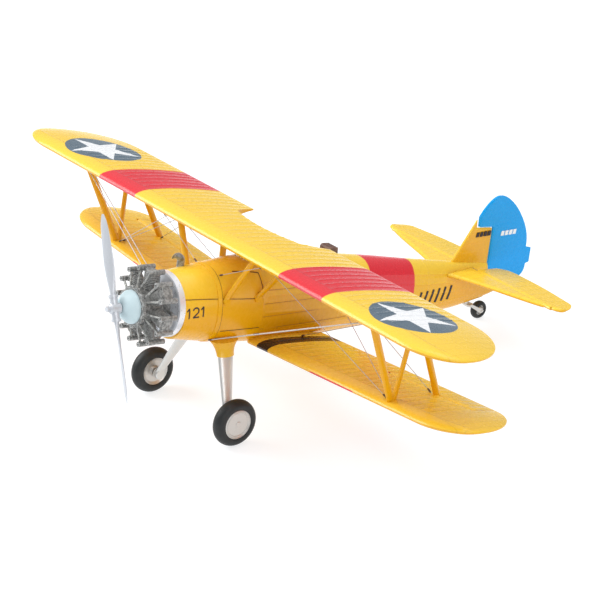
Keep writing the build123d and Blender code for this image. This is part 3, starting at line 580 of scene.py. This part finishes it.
# ==== meshes ====
def make_piece(name, shape, material, stands_for=(), body="airframe", smooth_angle=35):
    """A closed mesh from datum points, riding on a body in place of the CAD nodes it stands for."""
    points, faces = shape
    mesh = bpy.data.meshes.new(name)
    mesh.from_pydata([place(*point) for point in points], [], faces)
    mesh.validate()
    tidy = bmesh.new()
    tidy.from_mesh(mesh)
    bmesh.ops.remove_doubles(tidy, verts=tidy.verts, dist=WELD * MM)
    bmesh.ops.recalc_face_normals(tidy, faces=tidy.faces)
    tidy.to_mesh(mesh)
    tidy.free()
    mesh.shade_smooth()
    mesh.set_sharp_from_angle(angle=radians(smooth_angle))
    mesh.materials.append(MATERIALS[material])
    piece = bpy.data.objects.new(name, mesh)
    bpy.context.scene.collection.objects.link(piece)
    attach(piece, body)
    if stands_for:
        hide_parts(*stands_for)
    return piece


def join_rings(rings, closed=False):
    """Points and faces of a skin through rings of equal length, capped at its ends or closed."""
    count = len(rings[0])
    points = [point for ring in rings for point in ring]
    faces = []
    for row in range(len(rings) if closed else len(rings) - 1):
        here, there = row * count, (row + 1) % len(rings) * count
        for step in range(count):
            after = (step + 1) % count
            faces.append((here + step, here + after, there + after, there + step))
    if not closed:
        faces.append(tuple(reversed(range(count))))
        faces.append(tuple(range(len(points) - count, len(points))))
    return points, faces


def gather(shapes):
    """Several sets of points and faces as one."""
    points, faces = [], []
    for more_points, more_faces in shapes:
        faces += [tuple(len(points) + corner for corner in face) for face in more_faces]
        points += more_points
    return points, faces


def smoothstep(value, low, high):
    share = min(max((value - low) / (high - low), 0), 1)
    return share * share * (3 - 2 * share)


# ==== wings ====
class Wing:
    """The plan, section and set of one wing."""

    def __init__(self, lead_y, lead_z, chord, incidence, dihedral, tip_x, tip_aft, nose_x, tail_x):
        self.lead_y = lead_y
        self.lead_z = lead_z
        self.chord = chord
        self.incidence = radians(incidence)
        self.dihedral = radians(dihedral)
        self.tip_x = tip_x
        self.tip_aft = tip_aft
        self.nose_x = nose_x
        self.tail_x = tail_x

    def edges(self, span):
        """Distances of the leading and trailing edges aft of the straight leading edge."""
        nose_share = max(0.0, (span - self.nose_x) / (self.tip_x - self.nose_x))
        tail_share = max(0.0, (span - self.tail_x) / (self.tip_x - self.tail_x))
        lead = self.tip_aft * (1 - sqrt(max(1 - nose_share**2, 0)))
        trail = self.tip_aft + (self.chord - self.tip_aft) * sqrt(max(1 - tail_share**2, 0))
        return lead, trail

    def point(self, x, aft, above):
        """A point at a signed span, aft along the chord and square to the chord."""
        return (
            x,
            self.lead_y + aft * cos(self.incidence) + above * sin(self.incidence),
            self.lead_z + abs(x) * tan(self.dihedral) - aft * sin(self.incidence)
            + above * cos(self.incidence),
        )

    def skin(self, x, share, top, chord=None, lead=0.0, lift=0.0):
        """A point on the upper or lower skin, at a share of the chord."""
        local = chord or self.chord
        side = 1 if top else -1
        above = section_camber(share) * local + side * (section_half(share, local) + lift)
        return self.point(x, lead + share * local, above)


def section_camber(share):
    return 4 * CAMBER * share * (1 - share)


def section_half(share, chord):
    """Half the thickness of the section: an elliptical nose, then a long taper."""
    nose = sqrt(1 - (1 - min(share / NOSE_SHARE, 1)) ** 2)
    taper = 1 - (max(share - NOSE_SHARE, 0) / (1 - NOSE_SHARE)) ** TAPER_POWER
    return HALF_THICKNESS * nose * taper * chord + TRAILING_HALF_THICKNESS * share


UPPER_WING = Wing(
    lead_y=UPPER_LEAD, lead_z=18.4, chord=UPPER_CHORD, incidence=4.0, dihedral=0.0,
    tip_x=102.1, tip_aft=11.0, nose_x=86.0, tail_x=79.0,
)
LOWER_WING = Wing(
    lead_y=LOWER_LEAD, lead_z=-14.6, chord=LOWER_CHORD, incidence=3.0, dihedral=4.4,
    tip_x=94.6, tip_aft=12.5, nose_x=80.0, tail_x=82.0,
)


def rib_columns(low, high):
    """Stations along the span, with close ones at each rib."""
    offsets = (-RIB_HALF_WIDTH, -0.4 * RIB_HALF_WIDTH, 0.4 * RIB_HALF_WIDTH, RIB_HALF_WIDTH,
               0.3 * RIB_PITCH, 0.5 * RIB_PITCH, 0.7 * RIB_PITCH)
    first, last = int(low / RIB_PITCH) - 1, int(high / RIB_PITCH) + 1
    stations = [rib * RIB_PITCH + offset for rib in range(first, last + 1) for offset in offsets]
    return [low] + [x for x in stations if low + 0.05 < x < high - 0.05] + [high]


def tip_columns(wing):
    """Stations that close up towards the rounded tip."""
    start = min(wing.nose_x, wing.tail_x)
    angles = [radians(4 * step) for step in range(1, 22)] + [radians(87), radians(89)]
    return [start + (wing.tip_x - start) * sin(angle) for angle in angles]


def rib_relief(span, share):
    """How far the fabric stands above the plain section: high on a rib and sagging between."""
    bay = (abs(span) / RIB_PITCH) % 1
    off_rib = min(bay, 1 - bay) * RIB_PITCH
    ridge = RIB_HEIGHT * (1 - smoothstep(off_rib, 0.3 * RIB_HALF_WIDTH, RIB_HALF_WIDTH))
    sag = RIB_SAG * (1 - cos(2 * pi * bay)) / 2
    covered = smoothstep(share, SHEET_END - 0.015, SHEET_END + 0.02)
    covered *= 1 - smoothstep(share, 0.95, 0.99)
    return (ridge - sag) * covered + SHEET_STEP * (1 - smoothstep(share, SHEET_END - 0.01, SHEET_END))


def section_shares():
    """Shares of the chord from nose to tail, close together at the nose and at the sheet's edge."""
    even = [(1 - cos(pi * step / SECTION_STEPS)) / 2 for step in range(SECTION_STEPS + 1)]
    extra = [SHEET_END - 0.011, SHEET_END + 0.001, SHEET_END + 0.021, 0.955, 0.985]
    return sorted(even + extra)


def wing_ring(wing, x, end_share=1.0, wall_share=None):
    """The section at one station, from the upper trailing edge round the nose to the lower one."""
    lead, trail = wing.edges(abs(x))
    chord = trail - lead
    shares = section_shares()
    fade = smoothstep(chord, 0.2 * wing.chord, 0.6 * wing.chord)
    ring = []
    for top in (True, False):
        side = []
        for share in shares:
            along = share * end_share
            lift = rib_relief(x, along) * fade
            if wall_share is not None and along > wall_share:
                # a bay for the aileron: these points close the cut from skin to mid-plane
                inward = (along - wall_share) / (1 - wall_share)
                height = section_half(wall_share, chord) * (1 - inward) * (1 if top else -1)
                middle = section_camber(wall_share) * chord
                side.append(wing.point(x, lead + wall_share * chord, middle + height))
            else:
                side.append(wing.skin(x, along, top, chord, lead, lift))
        ring += list(reversed(side)) if top else side[1:]
    return ring


def cut_out_share(x):
    """The share of the chord that is left over the rear cockpit."""
    across = abs(x)
    middle, bend, corner = CUT_OUT
    if across < bend[0]:
        aft = middle[1] + (bend[1] - middle[1]) * (across / bend[0]) ** 2
    else:
        rise = min((across - bend[0]) / (corner[0] - bend[0]), 1)
        aft = bend[1] + (corner[1] - bend[1]) * (0.25 * rise + 0.75 * rise**2)
    return min(aft / UPPER_WING.chord, 1.0)


def make_upper_wing():
    half = rib_columns(0.0, min(UPPER_WING.nose_x, UPPER_WING.tail_x))
    corner = [CUT_OUT[1][0] + 0.25 * step for step in range(1, 18)]
    half = sorted(set(half[1:] + corner + tip_columns(UPPER_WING)))
    stations = [-x for x in reversed(half)] + [0.0] + half
    rings = [wing_ring(UPPER_WING, x, cut_out_share(x)) for x in stations]
    make_piece("upper_wing_skin", join_rings(rings), "upper", ["upper_wing"])


def make_lower_wing(side, word):
    """One lower panel with its aileron bay, and the aileron in it."""
    nose = section_half(AILERON_SHARE, LOWER_WING.chord)
    wall = AILERON_SHARE - (nose + HINGE_GAP) / LOWER_WING.chord
    inner, outer = AILERON_SPAN
    plain_in = [(x, None) for x in rib_columns(LOWER_ROOT, inner)]
    bay = [(x, wall) for x in rib_columns(inner, outer)]
    plain_out = [(x, None) for x in [outer, *(x for x in tip_columns(LOWER_WING) if x > outer)]]
    rings = [wing_ring(LOWER_WING, side * x, 1.0, cut) for x, cut in plain_in + bay + plain_out]
    make_piece(f"lower_wing_skin_{word}", join_rings(rings), "lower",
               [f"lower_wing_{word}"])
    rings = [aileron_ring(side * x, nose) for x in rib_columns(inner + HINGE_GAP, outer - HINGE_GAP)]
    make_piece(f"aileron_skin_{word}", join_rings(rings), "lower",
               [f"aileron_{word}"], f"aileron_{word}")


def aileron_ring(x, nose):
    """The aileron's section: skins from the trailing edge to the hinge line and a round nose."""
    lead, trail = LOWER_WING.edges(abs(x))
    chord = trail - lead
    steps = range(AILERON_STEPS + 1)
    shares = [1 - (1 - AILERON_SHARE) * step / AILERON_STEPS for step in steps]
    upper, lower = (
        [LOWER_WING.skin(x, share, top, chord, lead, rib_relief(x, share)) for share in shares]
        for top in (True, False)
    )
    middle = section_camber(AILERON_SHARE) * LOWER_WING.chord
    hinge = AILERON_SHARE * LOWER_WING.chord
    angles = [radians(90 + 20 * step) for step in range(1, 9)]
    round_nose = [LOWER_WING.point(x, hinge + nose * cos(a), middle + nose * sin(a)) for a in angles]
    return upper[:-1] + round_nose + list(reversed(lower[:-1]))


# ==== wheels ====
def make_wheel(side, word):
    """A main wheel: a flat cap with a raised ring inside its rim, turned about the axle."""
    profile = (
        (2.0, 0), (2.05, 0.8), (1.86, 0.95), (1.8, 3.45), (1.95, 3.55), (1.98, 3.7), (1.84, 3.8),
        (1.82, 4.0), (2.0, 4.15), (1.9, 4.35), (1.5, 4.4), (-1.5, 4.4), (-1.8, 4.2), (-1.3, 3.4),
        (-1.2, 1.7), (-1.9, 1.4), (-1.9, 0),
    )
    axle_x, axle_y, axle_z = WHEEL_CENTRE
    rings = []
    for step in range(WHEEL_STEPS):
        angle = 2 * pi * step / WHEEL_STEPS
        rings.append([(side * (axle_x + out), axle_y + radius * cos(angle), axle_z + radius * sin(angle))
                      for out, radius in profile])
    make_piece(f"wheel_disc_{word}", join_rings(rings, closed=True), "wheel",
               [f"wheel_{word}"], f"wheel_{word}", smooth_angle=25)


# ==== rigging ====
def tube(start, end, radius, sides=10):
    """Points and faces of a round bar between two datum points."""
    start, end = Vector(start), Vector(end)
    run = (end - start).normalized()
    across = run.orthogonal().normalized()
    other = run.cross(across)
    rings = []
    for centre in (start, end):
        angles = [2 * pi * step / sides for step in range(sides)]
        rings.append([tuple(centre + (across * cos(a) + other * sin(a)) * radius) for a in angles])
    return join_rings(rings)


def mirrored(point, side):
    """A datum point on the port side, or its mirror on the starboard side."""
    return Vector((side * point.x, point.y, point.z))


def make_rigging():
    """The wires in pairs, as in the CAD but finer, with dark fittings at their ends."""
    gap = Vector((0, WIRE_PAIR_GAP, 0))
    # places on the skins are a span and a share of the chord
    foot = Vector(LOWER_WING.skin(65.6, 0.09, True))
    strut_top = Vector(UPPER_WING.skin(67.5, 0.185, False))
    cabane_front = Vector(UPPER_WING.skin(22.8, 0.16, False))
    cabane_rear = Vector(UPPER_WING.skin(26.0, 0.69, False))
    roll_foot, roll_top = Vector((5.4, 31.0, 7.6)), Vector(UPPER_WING.skin(24.6, 0.10, False))
    rear_foot = Vector(LOWER_WING.skin(65.8, 0.66, True))
    rear_top = Vector(UPPER_WING.skin(67.5, 0.70, False))
    keel = Vector((9.3, 28.6, -9.9))
    wing_root = Vector(LOWER_WING.skin(10.0, 0.60, True))
    routes = (
        (keel, strut_top, FLYING_WIRE), (keel - gap * 2, strut_top - gap, FLYING_WIRE),
        (wing_root, rear_top, LANDING_WIRE), (foot, cabane_front, LANDING_WIRE),
        (foot + gap, cabane_rear, LANDING_WIRE), (rear_foot, cabane_rear + gap, LANDING_WIRE),
        (roll_foot, roll_top, LANDING_WIRE),
    )
    for word, side in SIDES.items():
        wires, fittings = [], []
        for inner, outer, radius in routes:
            start, end = mirrored(inner, side), mirrored(outer, side)
            wires.append(tube(start, end, radius))
            for fixed, free in ((start, end), (end, start)):
                run = (free - fixed).normalized()
                fittings.append(tube(fixed + run * 0.4, fixed + run * 1.7, FITTING))
        # a turnbuckle on the front flying wire
        start, run = mirrored(keel, side), mirrored(strut_top - keel, side)
        buckle = start + run * 0.27
        fittings.append(tube(buckle, buckle + run.normalized() * 2.2, BUCKLE))
        make_piece(f"wires_{word}", gather(wires), "wire", [f"rigging_{word}"])
        make_piece(f"wire_fittings_{word}", gather(fittings), "fitting")


# ==== tail ====
class Outline:
    """Finds where a CAD node begins and ends along the aircraft."""

    def __init__(self, name):
        node = frame["nodes"][name]
        points = [node.matrix_world @ vertex.co for vertex in node.data.vertices]
        self.tree = BVHTree.FromPolygons(points, [face.vertices for face in node.data.polygons])

    def edges(self, x, z):
        """The first and last distance aft at which the node is met, or None."""
        ahead = self.tree.ray_cast(place(x, 0, z), AFT)[0]
        behind = self.tree.ray_cast(place(x, 200, z), -AFT)[0]
        if ahead is None or behind is None:
            return None
        return (ahead - HUB).dot(AFT) / MM, (behind - HUB).dot(AFT) / MM


def blade_ring(front, back, half, thin, nose_length, put, relief):
    """A thin section from its back edge round the nose, placed by put(aft, side, half)."""
    length = max(back - front, 0.02)
    shares = [(step / BLADE_STEPS) ** 1.6 for step in range(BLADE_STEPS + 1)]
    ring = []
    for side in (1, -1):
        row = []
        for share in shares:
            away = share * length
            nose = sqrt(max(1 - (1 - min(away / nose_length, 1)) ** 2, 0))
            height = nose * (half + (thin - half) * share)
            if share > 0.02 and share < 0.97:
                height += relief * smoothstep(away, nose_length, 2 * nose_length)
            row.append(put(front + away, side * height))
        ring += list(reversed(row)) if side == 1 else row[1:]
    return ring


def tail_ribs(position):
    """A thin raised line at each rib of the tail surfaces."""
    bay = (abs(position) / TAIL_RIB_PITCH) % 1
    off_rib = min(bay, 1 - bay) * TAIL_RIB_PITCH
    return TAIL_RIB_HEIGHT * (1 - smoothstep(off_rib, 0.06, 0.24))


def even_steps(low, high, pitch):
    count = max(int((high - low) / pitch), 1)
    return [low + (high - low) * step / count for step in range(count + 1)]


def make_level_surface(name, node, sides, low, high, body, thin):
    """A tailplane or elevator skin, each side of it from the CAD node's own outline."""
    outline = Outline(node)
    shapes = []
    for side in sides:
        rings = []
        for span in even_steps(low, high, 0.16):
            x = side * span
            edges = outline.edges(x, TAIL_Z)
            if edges:
                rings.append(blade_ring(*edges, TAIL_HALF, thin, TAIL_NOSE,
                                        lambda aft, up, x=x: (x, aft, TAIL_Z + up), tail_ribs(span)))
        shapes.append(join_rings(rings))
    make_piece(name, gather(shapes), "tail", [node], body)


def make_upright_surface(name, node, low, high, lowest, body, material):
    """The fin's or rudder's skin from the CAD node's own outline, read no lower than a height."""
    outline = Outline(node)
    rings = []
    for z in even_steps(low, high, 0.2):
        edges = outline.edges(0.05, max(z, lowest))
        if edges:
            rings.append(blade_ring(*edges, FIN_HALF, TAIL_THIN, 0.9,
                                    lambda aft, across, z=z: (across, aft, z), 0.5 * tail_ribs(z)))
    make_piece(name, join_rings(rings), material, [node], body)


def make_tail():
    make_level_surface("tailplane_skin", "tailplane", (1, -1), 1.2, 35.3, "airframe", TAIL_HALF)
    for word, side in SIDES.items():
        make_level_surface(f"elevator_skin_{word}", f"elevator_{word}", (side,), 4.25, 40.45,
                           "elevators", TAIL_THIN)
    make_upright_surface("fin_skin", "fin", -5.0, 10.7, -2.0, "airframe", "yellow")
    make_upright_surface("rudder_skin", "rudder", -11.55, 17.6, -12, "rudder", "blue")


# ==== fuselage ====
def station_values(aft):
    """Half width, top, bottom and squareness at a station, smoothly between the listed ones."""
    last = len(BODY_STATIONS) - 2
    index = next((i for i in range(last + 1) if aft <= BODY_STATIONS[i + 1][0]), last)
    before, after = BODY_STATIONS[index], BODY_STATIONS[index + 1]
    gap = after[0] - before[0]
    share = (aft - before[0]) / gap
    values = []
    for column in range(1, 5):
        slopes = []
        for middle in (index, index + 1):
            low, high = BODY_STATIONS[max(middle - 1, 0)], BODY_STATIONS[min(middle + 1, last + 1)]
            slopes.append((high[column] - low[column]) / (high[0] - low[0]) * gap)
        a, b = before[column], after[column]
        bend_out = slopes[0] * (share**3 - 2 * share**2 + share)
        bend_in = slopes[1] * (share**3 - share**2)
        values.append(a + (b - a) * share**2 * (3 - 2 * share) + bend_out + bend_in)
    return values


def power(value, exponent):
    """A power that keeps the sign of its base."""
    return (1 if value >= 0 else -1) * abs(value) ** exponent


def body_point(aft, angle, lift=0.0):
    """A point on the fuselage skin at an angle from port towards the top, lifted off it."""
    half_width, top, bottom, squareness = station_values(aft)
    middle, half_height = (top + bottom) / 2, (top - bottom) / 2
    across = power(cos(angle), 2 / squareness)
    rise = power(sin(angle), 2 / squareness)
    normal = Vector((
        power(across, squareness - 1) / half_width, 0, power(rise, squareness - 1) / half_height,
    )).normalized()
    return Vector((half_width * across, aft, middle + half_height * rise)) + normal * lift


def side_angle(aft, z):
    """The angle of a point on the port side at a height."""
    half_width, top, bottom, squareness = station_values(aft)
    rise = (z - (top + bottom) / 2) / ((top - bottom) / 2)
    return asin(power(min(max(rise, -1), 1), squareness / 2))


def stringer_angles():
    """The angles of the stringers on the port side, which run to the tail along equal shares."""
    return [asin(power(rise, 1.22)) for rise in STRINGERS]


def ring_angles():
    """Angles round the fuselage, with close ones at each stringer."""
    even = [2 * pi * (step + 0.5) / BODY_STEPS for step in range(BODY_STEPS)]
    close = []
    for angle in stringer_angles():
        for there in (angle, pi - angle):
            close += [(there + share * STRINGER_HALF_ANGLE) % (2 * pi) for share in (-1, -0.35, 0.35, 1)]
    return sorted(even + close)


def body_relief(aft, angle):
    """Raised lines of the skin: stringers behind the cockpits' front and frames across."""
    lift = 0.0
    for line in stringer_angles():
        for there in (line, pi - line):
            off = abs((angle - there + pi) % (2 * pi) - pi)
            ridge = 1 - smoothstep(off, 0.3 * STRINGER_HALF_ANGLE, STRINGER_HALF_ANGLE)
            lift = max(lift, ridge * smoothstep(aft, 44.8, 47.0) * (1 - smoothstep(aft, 128, 136)))
    frames = max(1 - smoothstep(abs(aft - line), 0.05, 0.2) for line in BODY_FRAMES)
    return STRINGER_HEIGHT * max(lift, 0.6 * frames)


def body_skin(front, back, lift=0.0, relief=True):
    """Points and faces of a closed stretch of the fuselage."""
    close = [line + offset for line in BODY_FRAMES for offset in (-0.2, -0.06, 0.06, 0.2)]
    rows = sorted(set(even_steps(front, back, 1.0) + [y for y in close if front < y < back]))
    angles = ring_angles()
    rings = [
        [body_point(aft, angle, lift + (body_relief(aft, angle) if relief else 0)) for angle in angles]
        for aft in rows
    ]
    return join_rings(rings)


def cut_with(piece, cutters):
    """Cut closed shapes out of a piece, then drop them."""
    for cutter in cutters:
        cut = piece.modifiers.new("cut", "BOOLEAN")
        cut.operation = "DIFFERENCE"
        cut.solver = "EXACT"
        cut.object = cutter
        with bpy.context.temp_override(object=piece, active_object=piece):
            bpy.ops.object.modifier_apply(modifier=cut.name)
        bpy.data.objects.remove(cutter)


def cockpit_cutter(front, back):
    """A tall block with the rounded outline of one cockpit opening."""
    radius, steps = 3.2, 6
    middle = (front + back) / 2
    half_x, half_y = COCKPIT_HALF_WIDTH, (back - front) / 2
    outline = []
    for corner, (sx, sy) in enumerate(((1, 1), (-1, 1), (-1, -1), (1, -1))):
        for step in range(steps + 1):
            angle = radians(90 * corner + 90 * step / steps)
            outline.append((sx * (half_x - radius) + radius * cos(angle),
                            middle + sy * (half_y - radius) + radius * sin(angle)))
    points, faces = join_rings([[place(x, y, z) for x, y in outline] for z in (0.0, 20.0)])
    mesh = bpy.data.meshes.new("cutter")
    mesh.from_pydata(points, [], faces)
    cutter = bpy.data.objects.new("cutter", mesh)
    bpy.context.scene.collection.objects.link(cutter)
    return cutter


def make_fuselage():
    """The cowl with its raised rear lip, and the hollow fuselage skin behind it."""
    cowl = body_skin(BODY_STATIONS[0][0], COWL_BACK - 0.5)
    lip = body_skin(COWL_BACK - 1.4, COWL_BACK, COWL_LIP)
    make_piece("cowl_skin", gather([cowl, lip]), "body", ["front_cowl"])
    outside = body_skin(COWL_BACK - 0.2, BODY_STATIONS[-1][0])
    inner_points, inner_faces = body_skin(COWL_BACK + SHELL, HOLLOW_BACK, -SHELL, False)
    inside = inner_points, [tuple(reversed(face)) for face in inner_faces]
    skin = make_piece("fuselage_skin", gather([outside, inside]), "body",
                      pairs("fuselage"))
    cut_with(skin, [cockpit_cutter(*cockpit) for cockpit in COCKPITS])


def make_stroke(route, width, sides, lift, step=0.35):
    """Points and faces of thin strips laid on the fuselage sides along a route of (aft, height)."""
    strips = []
    for side in sides:
        rings = []
        for (y0, z0), (y1, z1) in zip(route, route[1:]):
            length = sqrt((y1 - y0) ** 2 + (z1 - z0) ** 2)
            count = max(int(length / step), 1)
            normal = (-(z1 - z0) / length * width / 2, (y1 - y0) / length * width / 2)
            for part in range(count + 1):
                y, z = y0 + (y1 - y0) * part / count, z0 + (z1 - z0) * part / count
                ring = []
                for across, height in ((1, lift), (0, lift), (-1, lift), (-1, -0.15), (1, -0.15)):
                    aft = y + across * normal[0]
                    angle = side_angle(aft, z + across * normal[1])
                    point = body_point(aft, angle, height)
                    ring.append((side * point.x, point.y, point.z))
                rings.append(ring)
        strips.append(join_rings(rings))
    return gather(strips)


def make_seam(name, aft, width):
    """A thin dark line right round the fuselage."""
    rings = []
    for angle in ring_angles():
        front, back = aft - width / 2, aft + width / 2
        rings.append([tuple(body_point(y, angle, lift))
                      for y, lift in ((front, 0.04), (back, 0.04), (back, -0.2), (front, -0.2))])
    make_piece(name, join_rings(rings, closed=True), "line")


def make_marks(name, routes, width, material, lift=0.03, sides=(1, -1)):
    """Several strokes on the fuselage as one piece."""
    strokes = gather([make_stroke(route, width, sides, lift) for route in routes])
    make_piece(name, strokes, material)


def arc(centre, radius_y, radius_z, start, end, steps=8):
    """Points of part of an ellipse, in degrees from aft towards the top."""
    angles = [radians(start + (end - start) * step / steps) for step in range(steps + 1)]
    return [(centre[0] + radius_y * cos(a), centre[1] + radius_z * sin(a)) for a in angles]


def digit_one(left):
    return [[(left, NUMBER_TOP - 0.8), (left + 0.8, NUMBER_TOP), (left + 0.8, NUMBER_FOOT)]]


def digit_two(left):
    bowl = arc((left + 0.95, NUMBER_TOP - 0.9), 0.95, 0.9, 170, -35)
    return [bowl + [(left + 0.1, NUMBER_FOOT + 0.2), (left + 2.1, NUMBER_FOOT + 0.2)]]


def make_fuselage_marks():
    lines = [
        [(17.6, 3.1), (24.0, 2.6), (30.0, 2.0), (36.0, 1.2), (43.2, 0.4)],
        [(35.4, 8.2), (40.0, 7.9), (43.7, 7.3), (44.6, 2.4)],
        [(31.0, -8.2), (44.6, -8.9)],
    ]
    make_marks("panel_lines", lines, 0.2, "line", 0.07)
    stringers = [[(45.2, top), (86.0, top - fall)] for top, fall in STRINGER_LINES]
    make_marks("stringer_lines", stringers, 0.14, "faint_line", 0.05)
    make_seam("cowl_seam", COWL_BACK + 0.12, 0.3)
    strokes = digit_one(18.0) + digit_two(20.1) + digit_one(22.8)
    make_marks("cowl_number_left", strokes, 0.42, "ink", 0.05, (1,))
    turned = [[(2 * NUMBER_MIDDLE - aft, z) for aft, z in stroke] for stroke in strokes]
    make_marks("cowl_number_right", turned, 0.42, "ink", 0.05, (-1,))
    bars = []
    for number in range(REAR_BARS):
        foot = 108.4 + 2.7 * number
        bars.append([(foot, -12.9), (foot + 1.2, -8.4)])
    make_marks("rear_bars", bars, 0.85, "ink", 0.12)


def make_dashes(name, body, material, first_y, pitch, low_z):
    """A row of thin slanted dashes on both sides of the fin or rudder."""
    length, height, slant = 0.7 * pitch, 1.5, 0.25
    shapes = []
    for number in range(DASHES):
        y = first_y + number * pitch
        corners = ((y, low_z), (y + length, low_z), (y + length + slant, low_z + height),
                   (y + slant, low_z + height))
        for side in (1, -1):
            rings = [[(side * across, aft, z) for aft, z in corners]
                     for across in (FIN_HALF - 0.25, FIN_HALF + 0.04)]
            shapes.append(join_rings(rings))
    make_piece(name, gather(shapes), material, body=body)


def make_tail_fairing():
    """The slender end of the fuselage under the rudder."""
    rings = []
    for aft, half_width, top, bottom in TAIL_FAIRING:
        middle, half_height = (top + bottom) / 2, (top - bottom) / 2
        angles = [2 * pi * step / BODY_STEPS for step in range(BODY_STEPS)]
        rings.append([(half_width * cos(a), aft, middle + half_height * sin(a)) for a in angles])
    make_piece("tail_fairing", join_rings(rings), "yellow")


def soften(name, width, segments):
    """Round the hard edges of a carried-over CAD node."""
    bevel = frame["nodes"][name].modifiers.new("soften", "BEVEL")
    bevel.width = width * MM
    bevel.segments = segments
    bevel.limit_method = "ANGLE"


# ==== stage ====
def area_light(name, place_at, aim, width, height, watts):
    data = bpy.data.lights.new(name, "AREA")
    data.shape = "RECTANGLE"
    data.size = width
    data.size_y = height
    data.energy = watts
    lamp = bpy.data.objects.new(name, data)
    lamp.location = place_at
    lamp.rotation_euler = (Vector(aim) - Vector(place_at)).to_track_quat("-Z", "Y").to_euler()
    bpy.context.scene.collection.objects.link(lamp)


def make_floor():
    """A pale floor that reaches past the view."""
    half = 6.0
    mesh = bpy.data.meshes.new("floor")
    corners = [(-half, -half, 0), (half, -half, 0), (half, half, 0), (-half, half, 0)]
    mesh.from_pydata(corners, [], [(0, 1, 2, 3)])
    floor = bpy.data.objects.new("floor", mesh)
    floor.location.z = -0.0001
    bpy.context.scene.collection.objects.link(floor)
    material = bpy.data.materials.new("pale_floor")
    material.use_nodes = True
    surface = material.node_tree.nodes["Principled BSDF"]
    surface.inputs["Base Color"].default_value = (0.33, 0.365, 0.40, 1)
    surface.inputs["Roughness"].default_value = 0.75
    surface.inputs["Emission Color"].default_value = (1, 1, 1, 1)
    surface.inputs["Emission Strength"].default_value = FLOOR_GLOW
    mesh.materials.append(material)
    floor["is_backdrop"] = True


def light_stage():
    """A pale surround, darker towards the horizon, with a soft key over the nose and a fill."""
    world = bpy.data.worlds.new("studio")
    world.use_nodes = True
    tree = world.node_tree
    backdrop = tree.nodes["Background"]
    where = tree.nodes.new("ShaderNodeTexCoord")
    parts = tree.nodes.new("ShaderNodeSeparateXYZ")
    ramp = tree.nodes.new("ShaderNodeValToRGB")
    ramp.color_ramp.elements[0].position = 0.0
    ramp.color_ramp.elements[0].color = (*HORIZON, 1)
    ramp.color_ramp.elements[1].position = 0.75
    ramp.color_ramp.elements[1].color = (*ZENITH, 1)
    tree.links.new(where.outputs["Generated"], parts.inputs["Vector"])
    tree.links.new(parts.outputs["Z"], ramp.inputs["Fac"])
    tree.links.new(ramp.outputs["Color"], backdrop.inputs["Color"])
    bpy.context.scene.world = world
    aim = (0, 0, 0.03)
    area_light("key", (-0.72, -0.55, 0.72), aim, 0.8, 0.6, 9.6)
    area_light("overhead", (0.05, 0.25, 0.95), aim, 0.9, 0.5, 2.6)
    area_light("fill", (0.85, -0.25, 0.45), aim, 0.5, 0.4, 2.0)
    bpy.context.scene.view_settings.view_transform = "Standard"
    bpy.context.scene.view_settings.look = "None"


def make_camera():
    data = bpy.data.cameras.new("camera")
    data.lens = CAMERA_LENS
    data.sensor_width = 36.0
    data.shift_x, data.shift_y = CAMERA_SHIFT
    data.clip_start = 0.01
    data.clip_end = 20.0
    camera = bpy.data.objects.new("camera", data)
    back = Vector((
        sin(CAMERA_AZIMUTH) * cos(CAMERA_ELEVATION),
        -cos(CAMERA_AZIMUTH) * cos(CAMERA_ELEVATION),
        sin(CAMERA_ELEVATION),
    ))
    camera.location = CAMERA_AIM + back * CAMERA_DISTANCE
    camera.rotation_euler = (-back).to_track_quat("-Z", "Y").to_euler()
    bpy.context.scene.collection.objects.link(camera)
    bpy.context.scene.camera = camera


finish_cad_nodes()
soften("headrest", 0.5, 4)
make_upper_wing()
for word, side in SIDES.items():
    make_lower_wing(side, word)
for word, side in SIDES.items():
    make_wheel(side, word)
make_rigging()
make_tail()
make_fuselage()
make_fuselage_marks()
make_tail_fairing()
make_dashes("fin_mark", "airframe", "ink", first_y=133.4, pitch=1.6, low_z=5.0)
make_dashes("rudder_mark", "rudder", "white", first_y=143.9, pitch=1.7, low_z=4.3)
make_floor()
light_stage()
make_camera()

size_lines += ["visual box, metres", *[str(list(corner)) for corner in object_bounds()]]
